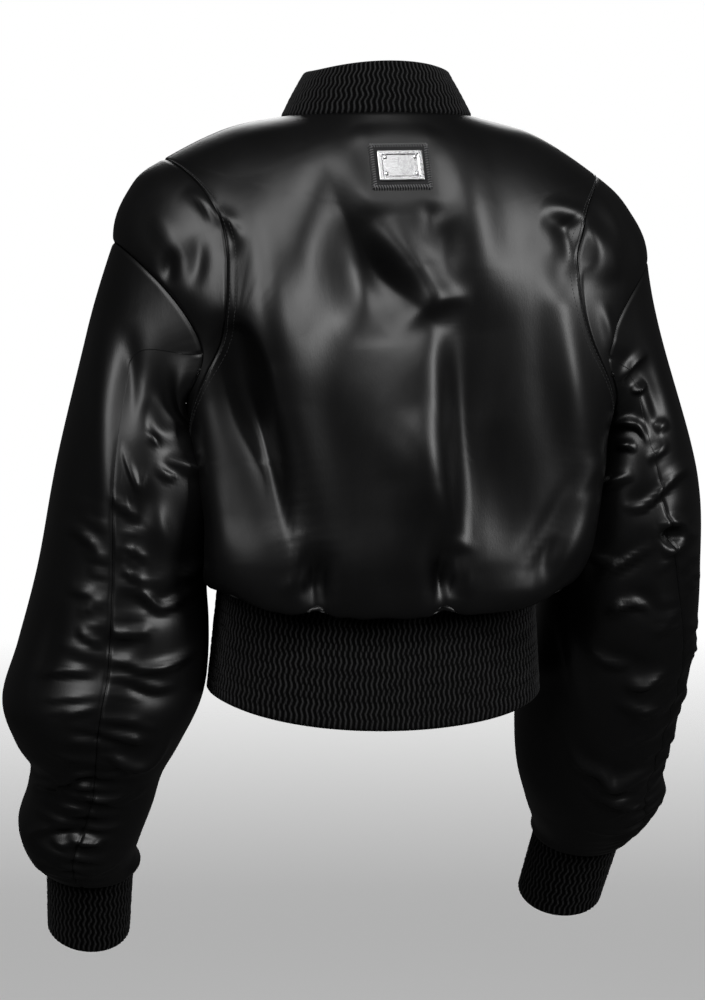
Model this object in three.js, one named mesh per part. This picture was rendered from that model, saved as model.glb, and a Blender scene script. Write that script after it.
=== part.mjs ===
// A black satin bomber jacket in its worn form: drop shoulders, two-part sleeves with
// a ruched seam down the back of the arm, a ribbed stand collar, cuffs and hem band,
// a closed front zip, and a riveted metal plate on a leather patch below the collar.
// Millimetres, +Z up, the jacket faces -Y, its left is +X. The origin is the centre of
// the neck at the height of the back collar seam.

import * as THREE from 'three';

// Driving dimensions
const SATIN_WALL = 2;
const KNIT_WALL = 3;
const SEAM_GAP = 0.6;
const HALF_TURN = Math.PI;
const FULL_TURN = 2 * Math.PI;
const DEGREE = Math.PI / 180;

const RIB_HEIGHT = 1.3;
const COLLAR_RIBS = 64;
const BAND_RIBS = 144;
const CUFF_RIBS = 32;

const ZIP = { halfGap: 7, tapeHalf: 6.5, parting: 0.35, chainHalf: 2.6, wall: 1.2, sunk: 0.6, chainRise: 1.0 };
const SLIDER = { row: 0.5, half: 4.3, length: 13, thick: 2.2, clear: 0.3 };
const BAIL = { half: 1.1, length: 10, leg: 1.4, under: 2.6, top: 3.6 };
const PULL = { half: 3.5, length: 30, thick: 1.4, windowHalf: 1.6, windowLength: 5.3, axis: 1.3 };

const PLATE_SEEN = { across: -16, up: -41, tilt: 1 * DEGREE };
const PATCH = { width: 47.5, height: 38.5, corner: 3, thick: 1.8, sunk: 1.2, flatten: 22 };
const PLATE = { width: 37.4, height: 26.5, corner: 1.6, thick: 1.6, border: 4, recess: 0.7 };
const RIVET = { radius: 1.8, height: 1.2, across: 12.4, up: 7.2 };

// Folds are placed where they are seen from behind, a little to the jacket's left
const VIEW = { turn: 12 * DEGREE, rise: 4.5 * DEGREE, distance: 3200, across: 23.7, up: -318 };

function table(columns, rows) {
  return rows.map((row) => Object.fromEntries(columns.map((name, i) => [name, row[i]])));
}

// Torso sections from the neck down: the side half-width, the back corner, the back
// depth, the front corner and the front depth, then the heights and the sideways sway
const TORSO = table(
  ['place', 'half', 'backX', 'backY', 'back', 'frontX', 'frontY', 'front', 'zBack', 'zSide', 'zFront', 'slope',
    'sway'],
  [
    ['neck', 77, 56, 47, 66, 56, 50, 70, 2, -1, -48, 0, 4],
    ['neck base', 127, 92, 64, 88, 90, 62, 88, -35, -13, -85, 2, 2],
    ['cap seam', 178, 128, 76, 103, 122, 74, 100, -75, -41, -120, 6, 1],
    ['shoulder', 207, 148, 84, 110, 140, 80, 107, -115, -66, -150, 9, 1],
    ['shoulder tip', 223, 160, 90, 114, 148, 84, 112, -155, -111, -180, 7, 1],
    ['blade', 201, 155, 94, 118, 140, 86, 116, -205, -187, -215, 4, -2],
    ['underarm', 158, 152, 96, 122, 122, 88, 118, -265, -262, -262, 0, -3],
    ['waist', 138, 153, 96, 126, 116, 88, 118, -320, -316, -305, 0, -1],
    ['fullest', 136, 154, 98, 131, 116, 90, 116, -365, -350, -338, 0, 3],
    ['bottom', 140, 144, 94, 124, 114, 88, 111, -403, -376, -364, 0, 6],
    ['band seam', 127, 106, 76, 101, 98, 76, 106, -392, -366, -372, 0, 7],
  ],
);
const ROW = { neck: 0, capStart: 2, tip: 4, underarm: 6, seam: 10 };

// Cap seam and sleeve seam, each an ellipse in turn and row round the armhole
const ARMHOLE = { top: ROW.tip, bottom: 6.0, back: 40, front: 36, square: 1, taper: 2 };
const CAP_SEAM = { top: 2.05, bottom: 6.25, back: 50, front: 47, square: 0.8, taper: 1.4 };
const SHOULDER_SEAM_BACK = 2;

// Sleeve sections from the armhole down: centre, outward half-vector, half-depth, the
// forward lean of the section and the turn of the back seam from the outer side
const SLEEVE_COLUMNS = ['x', 'y', 'z', 'outX', 'outZ', 'deep', 'lean', 'seam'];
const SLEEVE_LEFT = table(SLEEVE_COLUMNS, [
  [203, 2, -226, 41, 52, 70, 0, 62],
  [210, 4, -300, 60, 20, 80, 0, 66],
  [217, 2, -372, 69, 6, 80, 2, 73],
  [225, 2, -432, 78, 1, 80, 8, 78],
  [234, 0, -474, 82, -3, 80, 12, 80],
  [237, -8, -508, 69, -2, 72, 16, 80],
  [237, -15, -532, 55, 0, 64, 18, 78],
  [241, -23, -558, 52, 1, 60, 21, 76],
  [249, -30, -585, 51, 1, 56, 24, 76],
  [248, -37, -605, 46, -1, 50, 25, 76],
  [240, -42.6, -616.6, 42.5, -1, 44, 25, 76],
  [239, -40, -611, 37, 0, 39, 25, 76],
]);
const SLEEVE_RIGHT = table(SLEEVE_COLUMNS, [
  [-203, 2, -235, -34, 50, 68, 0, 90],
  [-211, -2, -308, -58, 14, 80, 4, 80],
  [-211, -16, -376, -66, 4, 82, 14, 62],
  [-210, -37, -434, -70, 0, 80, 24, 48],
  [-205, -62, -493, -71, 2, 76, 30, 50],
  [-204, -85, -548, -65, 2, 68, 32, 54],
  [-212, -102, -582, -61, 4, 60, 30, 56],
  [-210, -114, -606, -49, 3, 50, 28, 58],
  [-205.5, -120.7, -618.6, -43, 1, 44, 26, 58],
  [-205, -118, -613, -38.5, 0, 40, 26, 58],
]);
const CUFF_LEFT = {
  top: [239, -40.3, -611.7], bottom: [236, -74, -682], half: [35, 33], deep: [37, 35], lean: 25,
};
const CUFF_RIGHT = {
  top: [-205, -118.3, -613.7], bottom: [-194, -150, -681], half: [36.5, 35], deep: [38, 36], lean: 26,
};

const KNIT_COLUMNS = ['half', 'backX', 'backY', 'back', 'frontX', 'frontY', 'front', 'zBack', 'zSide', 'zFront',
  'slope', 'sway'];
const COLLAR_SECTIONS = table(KNIT_COLUMNS, [
  [77, 56, 47, 66, 56, 50, 70, 2.9, -0.1, -47.1, 0, 4],
  [68, 49, 45, 64, 51, 50, 71, 24, 17, -28, 0, 4],
  [57, 41, 41, 59, 45, 46, 68, 43, 36, -10, 0, 4],
]);
const BAND_SECTIONS = table(KNIT_COLUMNS, [
  [127, 106, 76, 101, 98, 76, 106, -394, -368, -374, 0, 7],
  [137, 108, 78, 104, 100, 76, 106, -497, -474, -455, 0, 9],
]);

// Largest folds: depth is out of the cloth, width is half the breadth of the fold, and
// the points are across and up as seen in VIEW
const FOLD_COLUMNS = ['depth', 'width', 'points'];
const BACK_FOLDS = table(FOLD_COLUMNS, [
  [4, 22, [[146, -95], [148, -200], [152, -280], [142, -370]]],
  [5, 22, [[-182, -80], [-182, -200], [-184, -290], [-164, -380]]],
  [-12, 16, [[124, -160], [118, -230], [92, -280], [60, -385]]],
  [7, 20, [[112, -50], [100, -120], [90, -205]]],
  [-8, 24, [[28, -80], [10, -140], [6, -190]]],
  [-13, 17, [[-58, -150], [-66, -240], [-66, -330], [-54, -400]]],
  [8, 16, [[6, -85], [-30, -130], [-48, -175]]],
  [7, 24, [[-25, -240], [-40, -300], [-56, -360]]],
  [-6, 12, [[-150, -85], [-160, -105], [-166, -130]]],
  [8, 14, [[-160, -85], [-180, -110], [-188, -140]]],
  [-8, 12, [[-108, -400], [-140, -350], [-174, -290]]],
  [-6, 9, [[52, -360], [53, -410]]],
  [-6, 9, [[-53, -350], [-53, -408]]],
]);
const LEFT_ARM_FOLDS = table(FOLD_COLUMNS, [
  [-6, 12, [[226, -315], [204, -336], [196, -300]]],
  [-7, 12, [[219, -393], [190, -408], [158, -395], [142, -378]]],
  [-6, 10, [[262, -430], [220, -440], [192, -430]]],
  [-7, 12, [[290, -464], [228, -462], [186, -478], [163, -466]]],
  [-6, 10, [[260, -507], [228, -514], [199, -518]]],
  [-7, 10, [[293, -555], [252, -548], [228, -540]]],
  [-6, 9, [[290, -596], [254, -592], [225, -597]]],
]);
const RIGHT_ARM_FOLDS = table(FOLD_COLUMNS, [
  [-6, 12, [[-198, -222], [-219, -196]]],
  [-6, 12, [[-188, -258], [-214, -258], [-238, -262]]],
  [-7, 11, [[-202, -324], [-224, -320], [-258, -294]]],
  [-6, 10, [[-176, -368], [-202, -370], [-232, -352]]],
  [-7, 11, [[-198, -400], [-216, -403], [-232, -398]]],
  [-6, 10, [[-170, -445], [-208, -456], [-240, -458]]],
  [-7, 10, [[-150, -512], [-180, -545], [-232, -538]]],
  [-6, 9, [[-164, -552], [-190, -570], [-220, -562]]],
]);
const FRONT_FOLDS = table(FOLD_COLUMNS, [
  [-7, 16, [[70, -385], [84, -330], [110, -270]]],
  [-6, 14, [[30, -390], [36, -330], [52, -280]]],
  [7, 22, [[120, -380], [128, -300], [136, -220]]],
  [-6, 14, [[150, -120], [126, -160], [112, -200]]],
]);

// Gathers along the ruched seam: how many wave down the sleeve, their height out of
// the cloth, how far each side of the seam they reach, and where they start
const GATHERS = { count: 17, height: 3, reach: 24, start: 0.36 };

function catmull(a, b, c, d, t) {
  const slope = (c - a) / 2;
  const next = (d - b) / 2;
  const rise = c - b;
  return b + t * (slope + t * (3 * rise - 2 * slope - next + t * (slope + next - 2 * rise)));
}

// A row of a table at any place between its rows, on smooth curves down the columns
function sample(rows, place) {
  const last = rows.length - 1;
  const i = Math.min(Math.max(Math.floor(place), 0), last - 1);
  const t = place - i;
  const result = {};
  for (const key of Object.keys(rows[0])) {
    if (typeof rows[0][key] !== 'number') continue;
    const before = i > 0 ? rows[i - 1][key] : 2 * rows[0][key] - rows[1][key];
    const after = i + 2 <= last ? rows[i + 2][key] : 2 * rows[last][key] - rows[last - 1][key];
    result[key] = catmull(before, rows[i][key], rows[i + 1][key], after, t);
  }
  return result;
}

// A body section is three waves round the turn, fitted to its corners; the turn is
// 0 at the centre back, a quarter turn at the left side and a half turn at the front
function sectionPoint(row, turn) {
  const wide = (row.backX + row.frontX) / Math.SQRT2;
  const across =
    ((wide + row.half) / 2) * Math.sin(turn) +
    ((wide - row.half) / 2) * Math.sin(3 * turn) +
    ((row.backX - row.frontX) / 2) * Math.sin(2 * turn);
  const middle = (row.backY - row.frontY) / 2;
  const diagonal = (row.backY + row.frontY) / Math.SQRT2;
  const depth = (row.back + row.front) / 2;
  const along =
    middle +
    ((depth + diagonal) / 2) * Math.cos(turn) +
    ((row.back - row.front) / 2 - middle) * Math.cos(2 * turn) +
    ((depth - diagonal) / 2) * Math.cos(3 * turn);
  const end = Math.cos(turn) > 0 ? row.zBack : row.zFront;
  const z = row.zSide + (end - row.zSide) * Math.cos(turn) ** 2 + row.slope * Math.sin(turn);
  return new THREE.Vector3(row.sway + across, along, z);
}

// Where a point is seen in VIEW, in millimetres at the neck's distance
function seen(p) {
  const { turn, rise, distance } = VIEW;
  const left = new THREE.Vector3(Math.cos(turn), -Math.sin(turn), 0);
  const toward = new THREE.Vector3(
    Math.sin(turn) * Math.cos(rise), Math.cos(turn) * Math.cos(rise), Math.sin(rise));
  const up = new THREE.Vector3().crossVectors(toward, left).negate();
  const aim = left.clone().multiplyScalar(VIEW.across).setZ(VIEW.up);
  const q = p.clone().sub(aim);
  const scale = distance / (distance - q.dot(toward));
  return new THREE.Vector2(VIEW.across + q.dot(left) * scale, VIEW.up + q.dot(up) * scale);
}

function seenInFront(p) {
  return new THREE.Vector2(Math.abs(p.x), p.z);
}

// Height of the folds at a place: each is a soft ridge or trough along a smooth curve,
// with a bell across it, and fades towards both ends
function foldHeight(folds, place) {
  let height = 0;
  for (const fold of folds) {
    fold.line ??= new THREE.SplineCurve(fold.points.map(([x, y]) => new THREE.Vector2(x, y))).getPoints(12);
    let best = Infinity;
    let along = 0;
    for (let i = 0; i < fold.line.length - 1; i += 1) {
      const span = fold.line[i + 1].clone().sub(fold.line[i]);
      const share = THREE.MathUtils.clamp(place.clone().sub(fold.line[i]).dot(span) / span.lengthSq(), 0, 1);
      const far = fold.line[i].clone().addScaledVector(span, share).distanceToSquared(place);
      if (far < best) {
        best = far;
        along = (i + share) / (fold.line.length - 1);
      }
    }
    const fade = 1 - (2 * along - 1) ** 4;
    height += fold.depth * fade * Math.exp(-best / fold.width ** 2);
  }
  return height;
}

// Outward normal of a surface of two parameters, by small steps
function normalOf(surface, u, v) {
  const step = 0.002;
  const du = surface(u + step, v).sub(surface(u - step, v));
  const dv = surface(u, v + step).sub(surface(u, v - step));
  return du.cross(dv).normalize();
}

function torsoBase(turn, row) {
  return sectionPoint(sample(TORSO, row), turn);
}

// Where the patch lies: the place on the smooth back that is seen at PLATE_SEEN, found
// by a few Newton steps, and its axes across, up and out of the cloth
function patchFrame() {
  const target = new THREE.Vector2(PLATE_SEEN.across, PLATE_SEEN.up);
  const step = 0.01;
  let turn = 0;
  let row = 1;
  for (let i = 0; i < 8; i += 1) {
    const here = seen(torsoBase(turn, row));
    const byTurn = seen(torsoBase(turn + step, row)).sub(here).divideScalar(step);
    const byRow = seen(torsoBase(turn, row + step)).sub(here).divideScalar(step);
    const miss = target.clone().sub(here);
    const area = byTurn.cross(byRow);
    turn += miss.cross(byRow) / area;
    row += byTurn.cross(miss) / area;
  }
  const out = normalOf(torsoBase, turn, row);
  const across = new THREE.Vector3(-out.y, out.x, 0).normalize().applyAxisAngle(out, PLATE_SEEN.tilt);
  const up = new THREE.Vector3().crossVectors(out, across);
  const centre = torsoBase(turn, row).addScaledVector(out, -PATCH.sunk);
  return { centre, across, up, out };
}
const FLAT = patchFrame();

// The stiff patch draws the cloth under it flat, and the flat place blends out round it
function flattened(p) {
  const from = p.clone().sub(FLAT.centre);
  const height = from.dot(FLAT.out);
  const outside = Math.hypot(
    Math.max(Math.abs(from.dot(FLAT.across)) - PATCH.width / 2, 0),
    Math.max(Math.abs(from.dot(FLAT.up)) - PATCH.height / 2, 0));
  const share = 1 - THREE.MathUtils.smoothstep(outside, 1, PATCH.flatten);
  return Math.abs(height) < PATCH.flatten ? p.addScaledVector(FLAT.out, -height * share) : p;
}

// Body cloth: the smooth torso with its folds raised along the normal; folds fade out
// at the neck and at the hem seam, where the cloth is sewn flat
function torso(turn, row) {
  const p = torsoBase(turn, row);
  const isBack = Math.cos(turn) > 0;
  const folds = isBack ? BACK_FOLDS : FRONT_FOLDS;
  const edge = Math.min(Math.abs(Math.cos(turn)) * 3.5, 1);
  const sewn = Math.min(1, row / 1.5, (ROW.seam - row) / 0.9);
  const height = foldHeight(folds, isBack ? seen(p) : seenInFront(p)) * edge * Math.max(sewn, 0);
  return flattened(p.addScaledVector(normalOf(torsoBase, turn, row), height));
}

const torsoNormal = (turn, row) => normalOf(torso, turn, row);

// The shoulder seam lies a little behind the side and joins the side at the armhole
const sideTurn = (row) => 90 - SHOULDER_SEAM_BACK * (1 - THREE.MathUtils.smoothstep(row, 2, 4.5));

// How far a seam swings from the side on a row: broad above its middle, and below it
// drawn in to a point at the underarm
function swingOf(seam, row, front) {
  const middle = (seam.top + seam.bottom) / 2;
  const reach = (seam.bottom - seam.top) / 2;
  const sine = Math.sqrt(Math.max(0, 1 - ((row - middle) / reach) ** 2));
  const share = sine ** (row < middle ? seam.square : seam.taper);
  return front ? seam.front * share : -seam.back * share;
}

// A place on a cap seam or sleeve seam: angle 0 is the shoulder, a quarter turn the
// back of the arm, a half turn the underarm
function seamPlace(seam, angle) {
  const row = (seam.top + seam.bottom - (seam.bottom - seam.top) * Math.cos(angle)) / 2;
  return { turn: (sideTurn(row) + swingOf(seam, row, Math.sin(angle) < 0)) * DEGREE, row };
}

// Turn at which a body panel meets the cap seam on a row, from the centre back
const panelEdge = (row, front) => (sideTurn(row) + swingOf(CAP_SEAM, row, front)) * DEGREE;

// A closed wall from an outer grid and an inner grid of points, joined at their edges
function wallMesh(outer, inner, wraps) {
  const rows = outer.length;
  const columns = outer[0].length;
  const positions = [...outer.flat(), ...inner.flat()].flatMap((p) => [p.x, p.y, p.z]);
  const inside = rows * columns;
  const index = [];
  const quad = (a, b, c, d) => index.push(a, b, c, a, c, d);
  const at = (i, j) => i * columns + (j % columns);
  const spans = wraps ? columns : columns - 1;
  for (let i = 0; i < rows - 1; i += 1) {
    for (let j = 0; j < spans; j += 1) {
      quad(at(i, j), at(i + 1, j), at(i + 1, j + 1), at(i, j + 1));
      quad(inside + at(i, j), inside + at(i, j + 1), inside + at(i + 1, j + 1), inside + at(i + 1, j));
    }
  }
  for (let j = 0; j < spans; j += 1) {
    quad(at(0, j), at(0, j + 1), inside + at(0, j + 1), inside + at(0, j));
    quad(at(rows - 1, j + 1), at(rows - 1, j), inside + at(rows - 1, j), inside + at(rows - 1, j + 1));
  }
  for (let i = 0; i < rows - 1 && !wraps; i += 1) {
    const end = columns - 1;
    quad(at(i + 1, 0), at(i, 0), inside + at(i, 0), inside + at(i + 1, 0));
    quad(at(i, end), at(i + 1, end), inside + at(i + 1, end), inside + at(i, end));
  }
  return closedGeometry(positions, index);
}

// A geometry whose faces all point outwards: they are turned if the volume is negative
function closedGeometry(positions, index) {
  const corner = (k) => new THREE.Vector3().fromArray(positions, 3 * index[k]);
  let volume = 0;
  for (let k = 0; k < index.length; k += 3) {
    volume += corner(k).dot(corner(k + 1).cross(corner(k + 2)));
  }
  if (volume < 0) index.reverse();
  const geometry = new THREE.BufferGeometry();
  geometry.setAttribute('position', new THREE.Float32BufferAttribute(positions, 3));
  geometry.setIndex(index);
  geometry.computeVertexNormals();
  return geometry;
}

function spread(count, from, to) {
  return Array.from({ length: count + 1 }, (_, i) => from + ((to - from) * i) / count);
}

// Finishes and the group
const FINISH = {
  satin: new THREE.MeshStandardMaterial({ color: 0x0b0b0d, roughness: 0.35, metalness: 0 }),
  knit: new THREE.MeshStandardMaterial({ color: 0x0e0e10, roughness: 0.85, metalness: 0 }),
  leather: new THREE.MeshStandardMaterial({ color: 0x2a2a2c, roughness: 0.6, metalness: 0 }),
  metal: new THREE.MeshStandardMaterial({ color: 0xc8c8ca, roughness: 0.2, metalness: 1 }),
  tape: new THREE.MeshStandardMaterial({ color: 0x101012, roughness: 0.8, metalness: 0 }),
};
const jacket = new THREE.Group();

function add(name, geometry, finish) {
  const mesh = new THREE.Mesh(geometry, FINISH[finish]);
  mesh.name = name;
  jacket.add(mesh);
}

// A wall whose outer grid is a surface and whose inner grid is moved in by the wall
function clothWall(surface, normal, us, vs, thickness, wraps) {
  const outer = vs.map((v, i) => us.map((u, j) => surface(u, v, i, j)));
  const inner = vs.map((v, i) => us.map((u, j) =>
    surface(u, v, i, j).addScaledVector(normal(u, v, i, j), -thickness)));
  return wallMesh(outer, inner, wraps);
}

// Back and fronts: columns run from edge to edge at each row
function bodyPanel(name, columns, rowPlaces, edges) {
  const place = (share, row) => {
    const [from, to] = edges(row);
    return from + (to - from) * share;
  };
  const surface = (share, row) => torso(place(share, row), row);
  const normal = (share, row) => torsoNormal(place(share, row), row);
  add(name, clothWall(surface, normal, spread(columns, 0, 1), rowPlaces, SATIN_WALL, false), 'satin');
}

// Columns across each sleeve half, closer together near the seams; the cap has the same
// columns and the body panels have rows at their ends
const SLEEVE_COLUMNS_ACROSS = 10;
const SLEEVE_ROWS_DOWN = 34;
const EASED = spread(SLEEVE_COLUMNS_ACROSS, 0, 1).map((t) => t - 0.05 * Math.sin(FULL_TURN * t));
const CAP_ANGLES = [...EASED, ...EASED.map((t) => t + 1).slice(1, -1)].map((t) => (t - 0.5) * HALF_TURN);
const CAP_ROWS = CAP_ANGLES.filter((angle) => angle > -1e-9 && angle < HALF_TURN + 1e-9)
  .map((angle) => seamPlace(CAP_SEAM, angle).row);
const SIDE_GAP = 0.16 * DEGREE;
const BODY_ROWS = [0, 0.5, 1, 1.6, ...CAP_ROWS, 6.6, 7, 7.4, 7.8, 8.2, 8.6, 9, 9.3, 9.6, ROW.seam];
// Millimetres across for each radian of turn at the centre front
function frontSpread(section) {
  const wide = (section.backX + section.frontX) / Math.SQRT2;
  return 2 * wide - section.half - section.backX + section.frontX;
}
const zipTurn = (row) => ZIP.halfGap / frontSpread(sample(TORSO, row));

bodyPanel('back_panel', 26, BODY_ROWS, (row) => [-panelEdge(row, false) + SIDE_GAP, panelEdge(row, false) - SIDE_GAP]);
bodyPanel('front_panel_left', 8, BODY_ROWS, (row) => [panelEdge(row, true) + SIDE_GAP, HALF_TURN - zipTurn(row)]);
bodyPanel('front_panel_right', 8, BODY_ROWS, (row) =>
  [HALF_TURN + zipTurn(row), FULL_TURN - panelEdge(row, true) - SIDE_GAP]);

// Sleeve: its first ring is the armhole seam and the rest are tilted ellipses
function sleeveRing(arm, place, angle) {
  const row = sample(arm.rows, place);
  const out = new THREE.Vector3(row.outX, 0, row.outZ);
  const lean = row.lean * DEGREE;
  const back = new THREE.Vector3(0, row.deep * Math.cos(lean), -row.deep * Math.sin(lean));
  return new THREE.Vector3(row.x, row.y, row.z)
    .addScaledVector(out, Math.cos(angle))
    .addScaledVector(back, Math.sin(angle));
}

// The body at a seam place on this arm's side
const bodyPoint = (arm, at) => torso(arm.side * at.turn, at.row);
const bodyNormal = (arm, at) => torsoNormal(arm.side * at.turn, at.row);

const ARMS = {
  left: { side: 1, rows: SLEEVE_LEFT, folds: LEFT_ARM_FOLDS, mirrored: RIGHT_ARM_FOLDS },
  right: { side: -1, rows: SLEEVE_RIGHT, folds: RIGHT_ARM_FOLDS, mirrored: LEFT_ARM_FOLDS },
};

// The smooth sleeve: place 0 is the armhole, and from place 1 on it follows the table
function sleeveBase(arm, angle, place) {
  const blend = Math.min(Math.max(place, 0), 1);
  const ring = sleeveRing(arm, Math.max(place - 1, 0), angle);
  if (blend >= 1) return ring;
  const before = bodyPoint(arm, seamPlace(ARMHOLE, angle));
  const after = sleeveRing(arm, 1, angle);
  const run = after.sub(ring).setLength(before.distanceTo(ring) / 2);
  const bend = ring.clone().sub(run);
  return before.clone().multiplyScalar((1 - blend) ** 2)
    .addScaledVector(bend, 2 * blend * (1 - blend))
    .addScaledVector(ring, blend ** 2);
}

// The back seam starts a quarter turn from the shoulder and swings to the table's place
// within the first ring
function seamAngle(arm, place) {
  const seam = sample(arm.rows, Math.max(place - 1, 0)).seam * DEGREE;
  return HALF_TURN / 2 + (seam - HALF_TURN / 2) * THREE.MathUtils.smoothstep(place, 0, 1);
}

// Folds on the seen side of the arm, similar ones on its hidden side, and the gathers
// on both sides of the ruched seam
function sleeve(arm, angle, place) {
  const base = (a, s) => sleeveBase(arm, a, s);
  const p = base(angle, place);
  const last = arm.rows.length;
  const facing = Math.sin(angle);
  const sewn = Math.min(1, Math.max(place, 0) / 0.7, Math.max(last - 1 - place, 0) / 1.5);
  const hidden = new THREE.Vector2(-seen(p).x - 20 * arm.side, p.z + 10);
  const height = facing > 0
    ? foldHeight(arm.folds, seen(p)) * Math.min(1, facing * 3)
    : foldHeight(arm.mirrored, hidden) * Math.min(1, -facing * 3);
  const share = place / last;
  const row = sample(arm.rows, Math.max(place - 1, 0));
  const fromSeam = (angle - row.seam * DEGREE) * row.deep;
  const rise = THREE.MathUtils.smoothstep(share, GATHERS.start, GATHERS.start + 0.1);
  const wave = Math.sin(FULL_TURN * GATHERS.count * (share - GATHERS.start) / (1 - GATHERS.start));
  const gather = GATHERS.height * rise * wave * Math.exp(-((fromSeam / GATHERS.reach) ** 2));
  return p.addScaledVector(normalOf(base, angle, place), -arm.side * (height + gather) * sewn);
}

// Shared normal of the sleeve seam, half way between the body's and the sleeve's, so
// that the two walls meet on a mitre
function armholeNormal(arm, angle) {
  return bodyNormal(arm, seamPlace(ARMHOLE, angle)).add(sleeveNormal(arm, angle, 0.08)).normalize();
}

function sleeveNormal(arm, angle, place) {
  return normalOf((a, s) => sleeve(arm, a, s), angle, place).multiplyScalar(-arm.side);
}

function addSleeveHalf(name, arm, from, to) {
  const last = arm.rows.length;
  const places = spread(SLEEVE_ROWS_DOWN, 0, 1).map((t) => last * (0.55 * t ** 1.5 + 0.45 * t));
  const angle = (share, place) => {
    const gap = (1.8 * SEAM_GAP) / sample(arm.rows, Math.max(place - 1, 0)).deep;
    return seamAngle(arm, place) + from + gap + (to - from - 2 * gap) * share;
  };
  const surface = (share, place) => {
    const p = sleeve(arm, angle(share, place), place);
    if (place > 0) return p;
    const next = sleeve(arm, angle(share, 0.1), 0.1);
    return p.add(next.sub(p).setLength(SEAM_GAP));
  };
  const normal = (share, place) => (place > 0
    ? sleeveNormal(arm, angle(share, place), place)
    : armholeNormal(arm, angle(share, place)));
  add(name, clothWall(surface, normal, EASED, places, SATIN_WALL, false), 'satin');
}

// Shoulder cap: a ring of cloth from the cap seam to the sleeve seam
function addCap(name, arm) {
  const place = (angle, share) => {
    const inner = seamPlace(CAP_SEAM, angle);
    const outer = seamPlace(ARMHOLE, angle);
    return {
      turn: inner.turn + (outer.turn - inner.turn) * share,
      row: inner.row + (outer.row - inner.row) * share,
    };
  };
  const surface = (angle, share) => bodyPoint(arm, place(angle, share));
  const normal = (angle, share) => (share < 1
    ? bodyNormal(arm, place(angle, share))
    : armholeNormal(arm, angle));
  add(name, clothWall(surface, normal, CAP_ANGLES, [0.012, 0.5, 1], SATIN_WALL, true), 'satin');
}

for (const [side, arm] of Object.entries(ARMS)) {
  addCap(`shoulder_cap_${side}`, arm);
  addSleeveHalf(`sleeve_outer_${side}`, arm, -HALF_TURN, 0);
  addSleeveHalf(`sleeve_under_${side}`, arm, 0, HALF_TURN);
}

// Ribbed knit: ribs stand out of the wall's outer points over a plain inside
function ribWall(surface, normal, ribs, from, to, rows, wraps) {
  const columns = 2 * ribs;
  const us = wraps ? spread(columns, from, to).slice(0, -1) : spread(columns, from, to);
  const outer = rows.map((v) => us.map((u, j) =>
    surface(u, v).addScaledVector(normal(u, v), j % 2 ? RIB_HEIGHT : 0)));
  const inner = rows.map((v) => us.map((u) => surface(u, v).addScaledVector(normal(u, v), -KNIT_WALL)));
  return wallMesh(outer, inner, wraps);
}

// Collar and band stand on sections like the body's and stop at the zip
function addSectionKnit(name, sections, ribs, rows) {
  const surface = (turn, row) => sectionPoint(sample(sections, row), turn);
  const rising = sections.at(-1).zBack > sections[0].zBack ? -1 : 1;
  const normal = (turn, row) => normalOf(surface, turn, row).multiplyScalar(rising);
  const end = ZIP.halfGap / frontSpread(sections[0]);
  add(name, ribWall(surface, normal, ribs, -HALF_TURN + end, HALF_TURN - end, rows, false), 'knit');
}
addSectionKnit('collar', COLLAR_SECTIONS, COLLAR_RIBS, [0, 1, 2]);
addSectionKnit('hem_band', BAND_SECTIONS, BAND_RIBS, [0, 1]);

// Cuffs: leaning tubes from the sleeve's last ring
function addCuff(name, cuff, side) {
  const surface = (angle, t) => {
    const centre = new THREE.Vector3().fromArray(cuff.top)
      .lerp(new THREE.Vector3().fromArray(cuff.bottom), t);
    const half = cuff.half[0] + (cuff.half[1] - cuff.half[0]) * t;
    const deep = cuff.deep[0] + (cuff.deep[1] - cuff.deep[0]) * t;
    const lean = cuff.lean * DEGREE;
    centre.x += side * half * Math.cos(angle);
    centre.y += deep * Math.sin(angle) * Math.cos(lean);
    centre.z -= deep * Math.sin(angle) * Math.sin(lean);
    return centre;
  };
  const normal = (angle, t) => normalOf(surface, angle, t).multiplyScalar(-side);
  add(name, ribWall(surface, normal, CUFF_RIBS, 0, FULL_TURN, [0, 1], true), 'knit');
}
addCuff('cuff_left', CUFF_LEFT, 1);
addCuff('cuff_right', CUFF_RIGHT, -1);

// Zip tapes: from the neck seam down the closed front and over the band to its edge;
// the raised inner edge is the chain
function frontLine(place) {
  if (place <= ROW.seam) return torso(HALF_TURN, place);
  return sectionPoint(sample(BAND_SECTIONS, place - ROW.seam), HALF_TURN);
}
function frontNormal(place) {
  const run = frontLine(place + 0.03).sub(frontLine(place - 0.03));
  return new THREE.Vector3(0, run.z, -run.y).normalize();
}
const TAPE_PLACES = [0.02, 0.5, 1, 1.6, 2.3, 3, 4, 5, 6, 7, 8, 9, 9.6, 9.9, 10.1, 10.5, 0.999 + ROW.seam];

function addTape(name, side) {
  const edges = [
    [ZIP.parting, ZIP.chainRise],
    [ZIP.chainHalf, ZIP.chainRise],
    [ZIP.chainHalf + 0.2, -ZIP.sunk],
    [ZIP.tapeHalf, -ZIP.sunk],
  ];
  const at = (place, across, rise) => {
    const p = frontLine(place).addScaledVector(frontNormal(place), rise);
    return p.setX(p.x + side * across);
  };
  const outer = TAPE_PLACES.map((place) => edges.map(([across, rise]) => at(place, across, rise)));
  const inner = TAPE_PLACES.map((place) => edges.map(([across]) => at(place, across, -ZIP.sunk - ZIP.wall)));
  add(name, wallMesh(outer, inner, false), 'tape');
}
addTape('zip_tape_left', 1);
addTape('zip_tape_right', -1);

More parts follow.
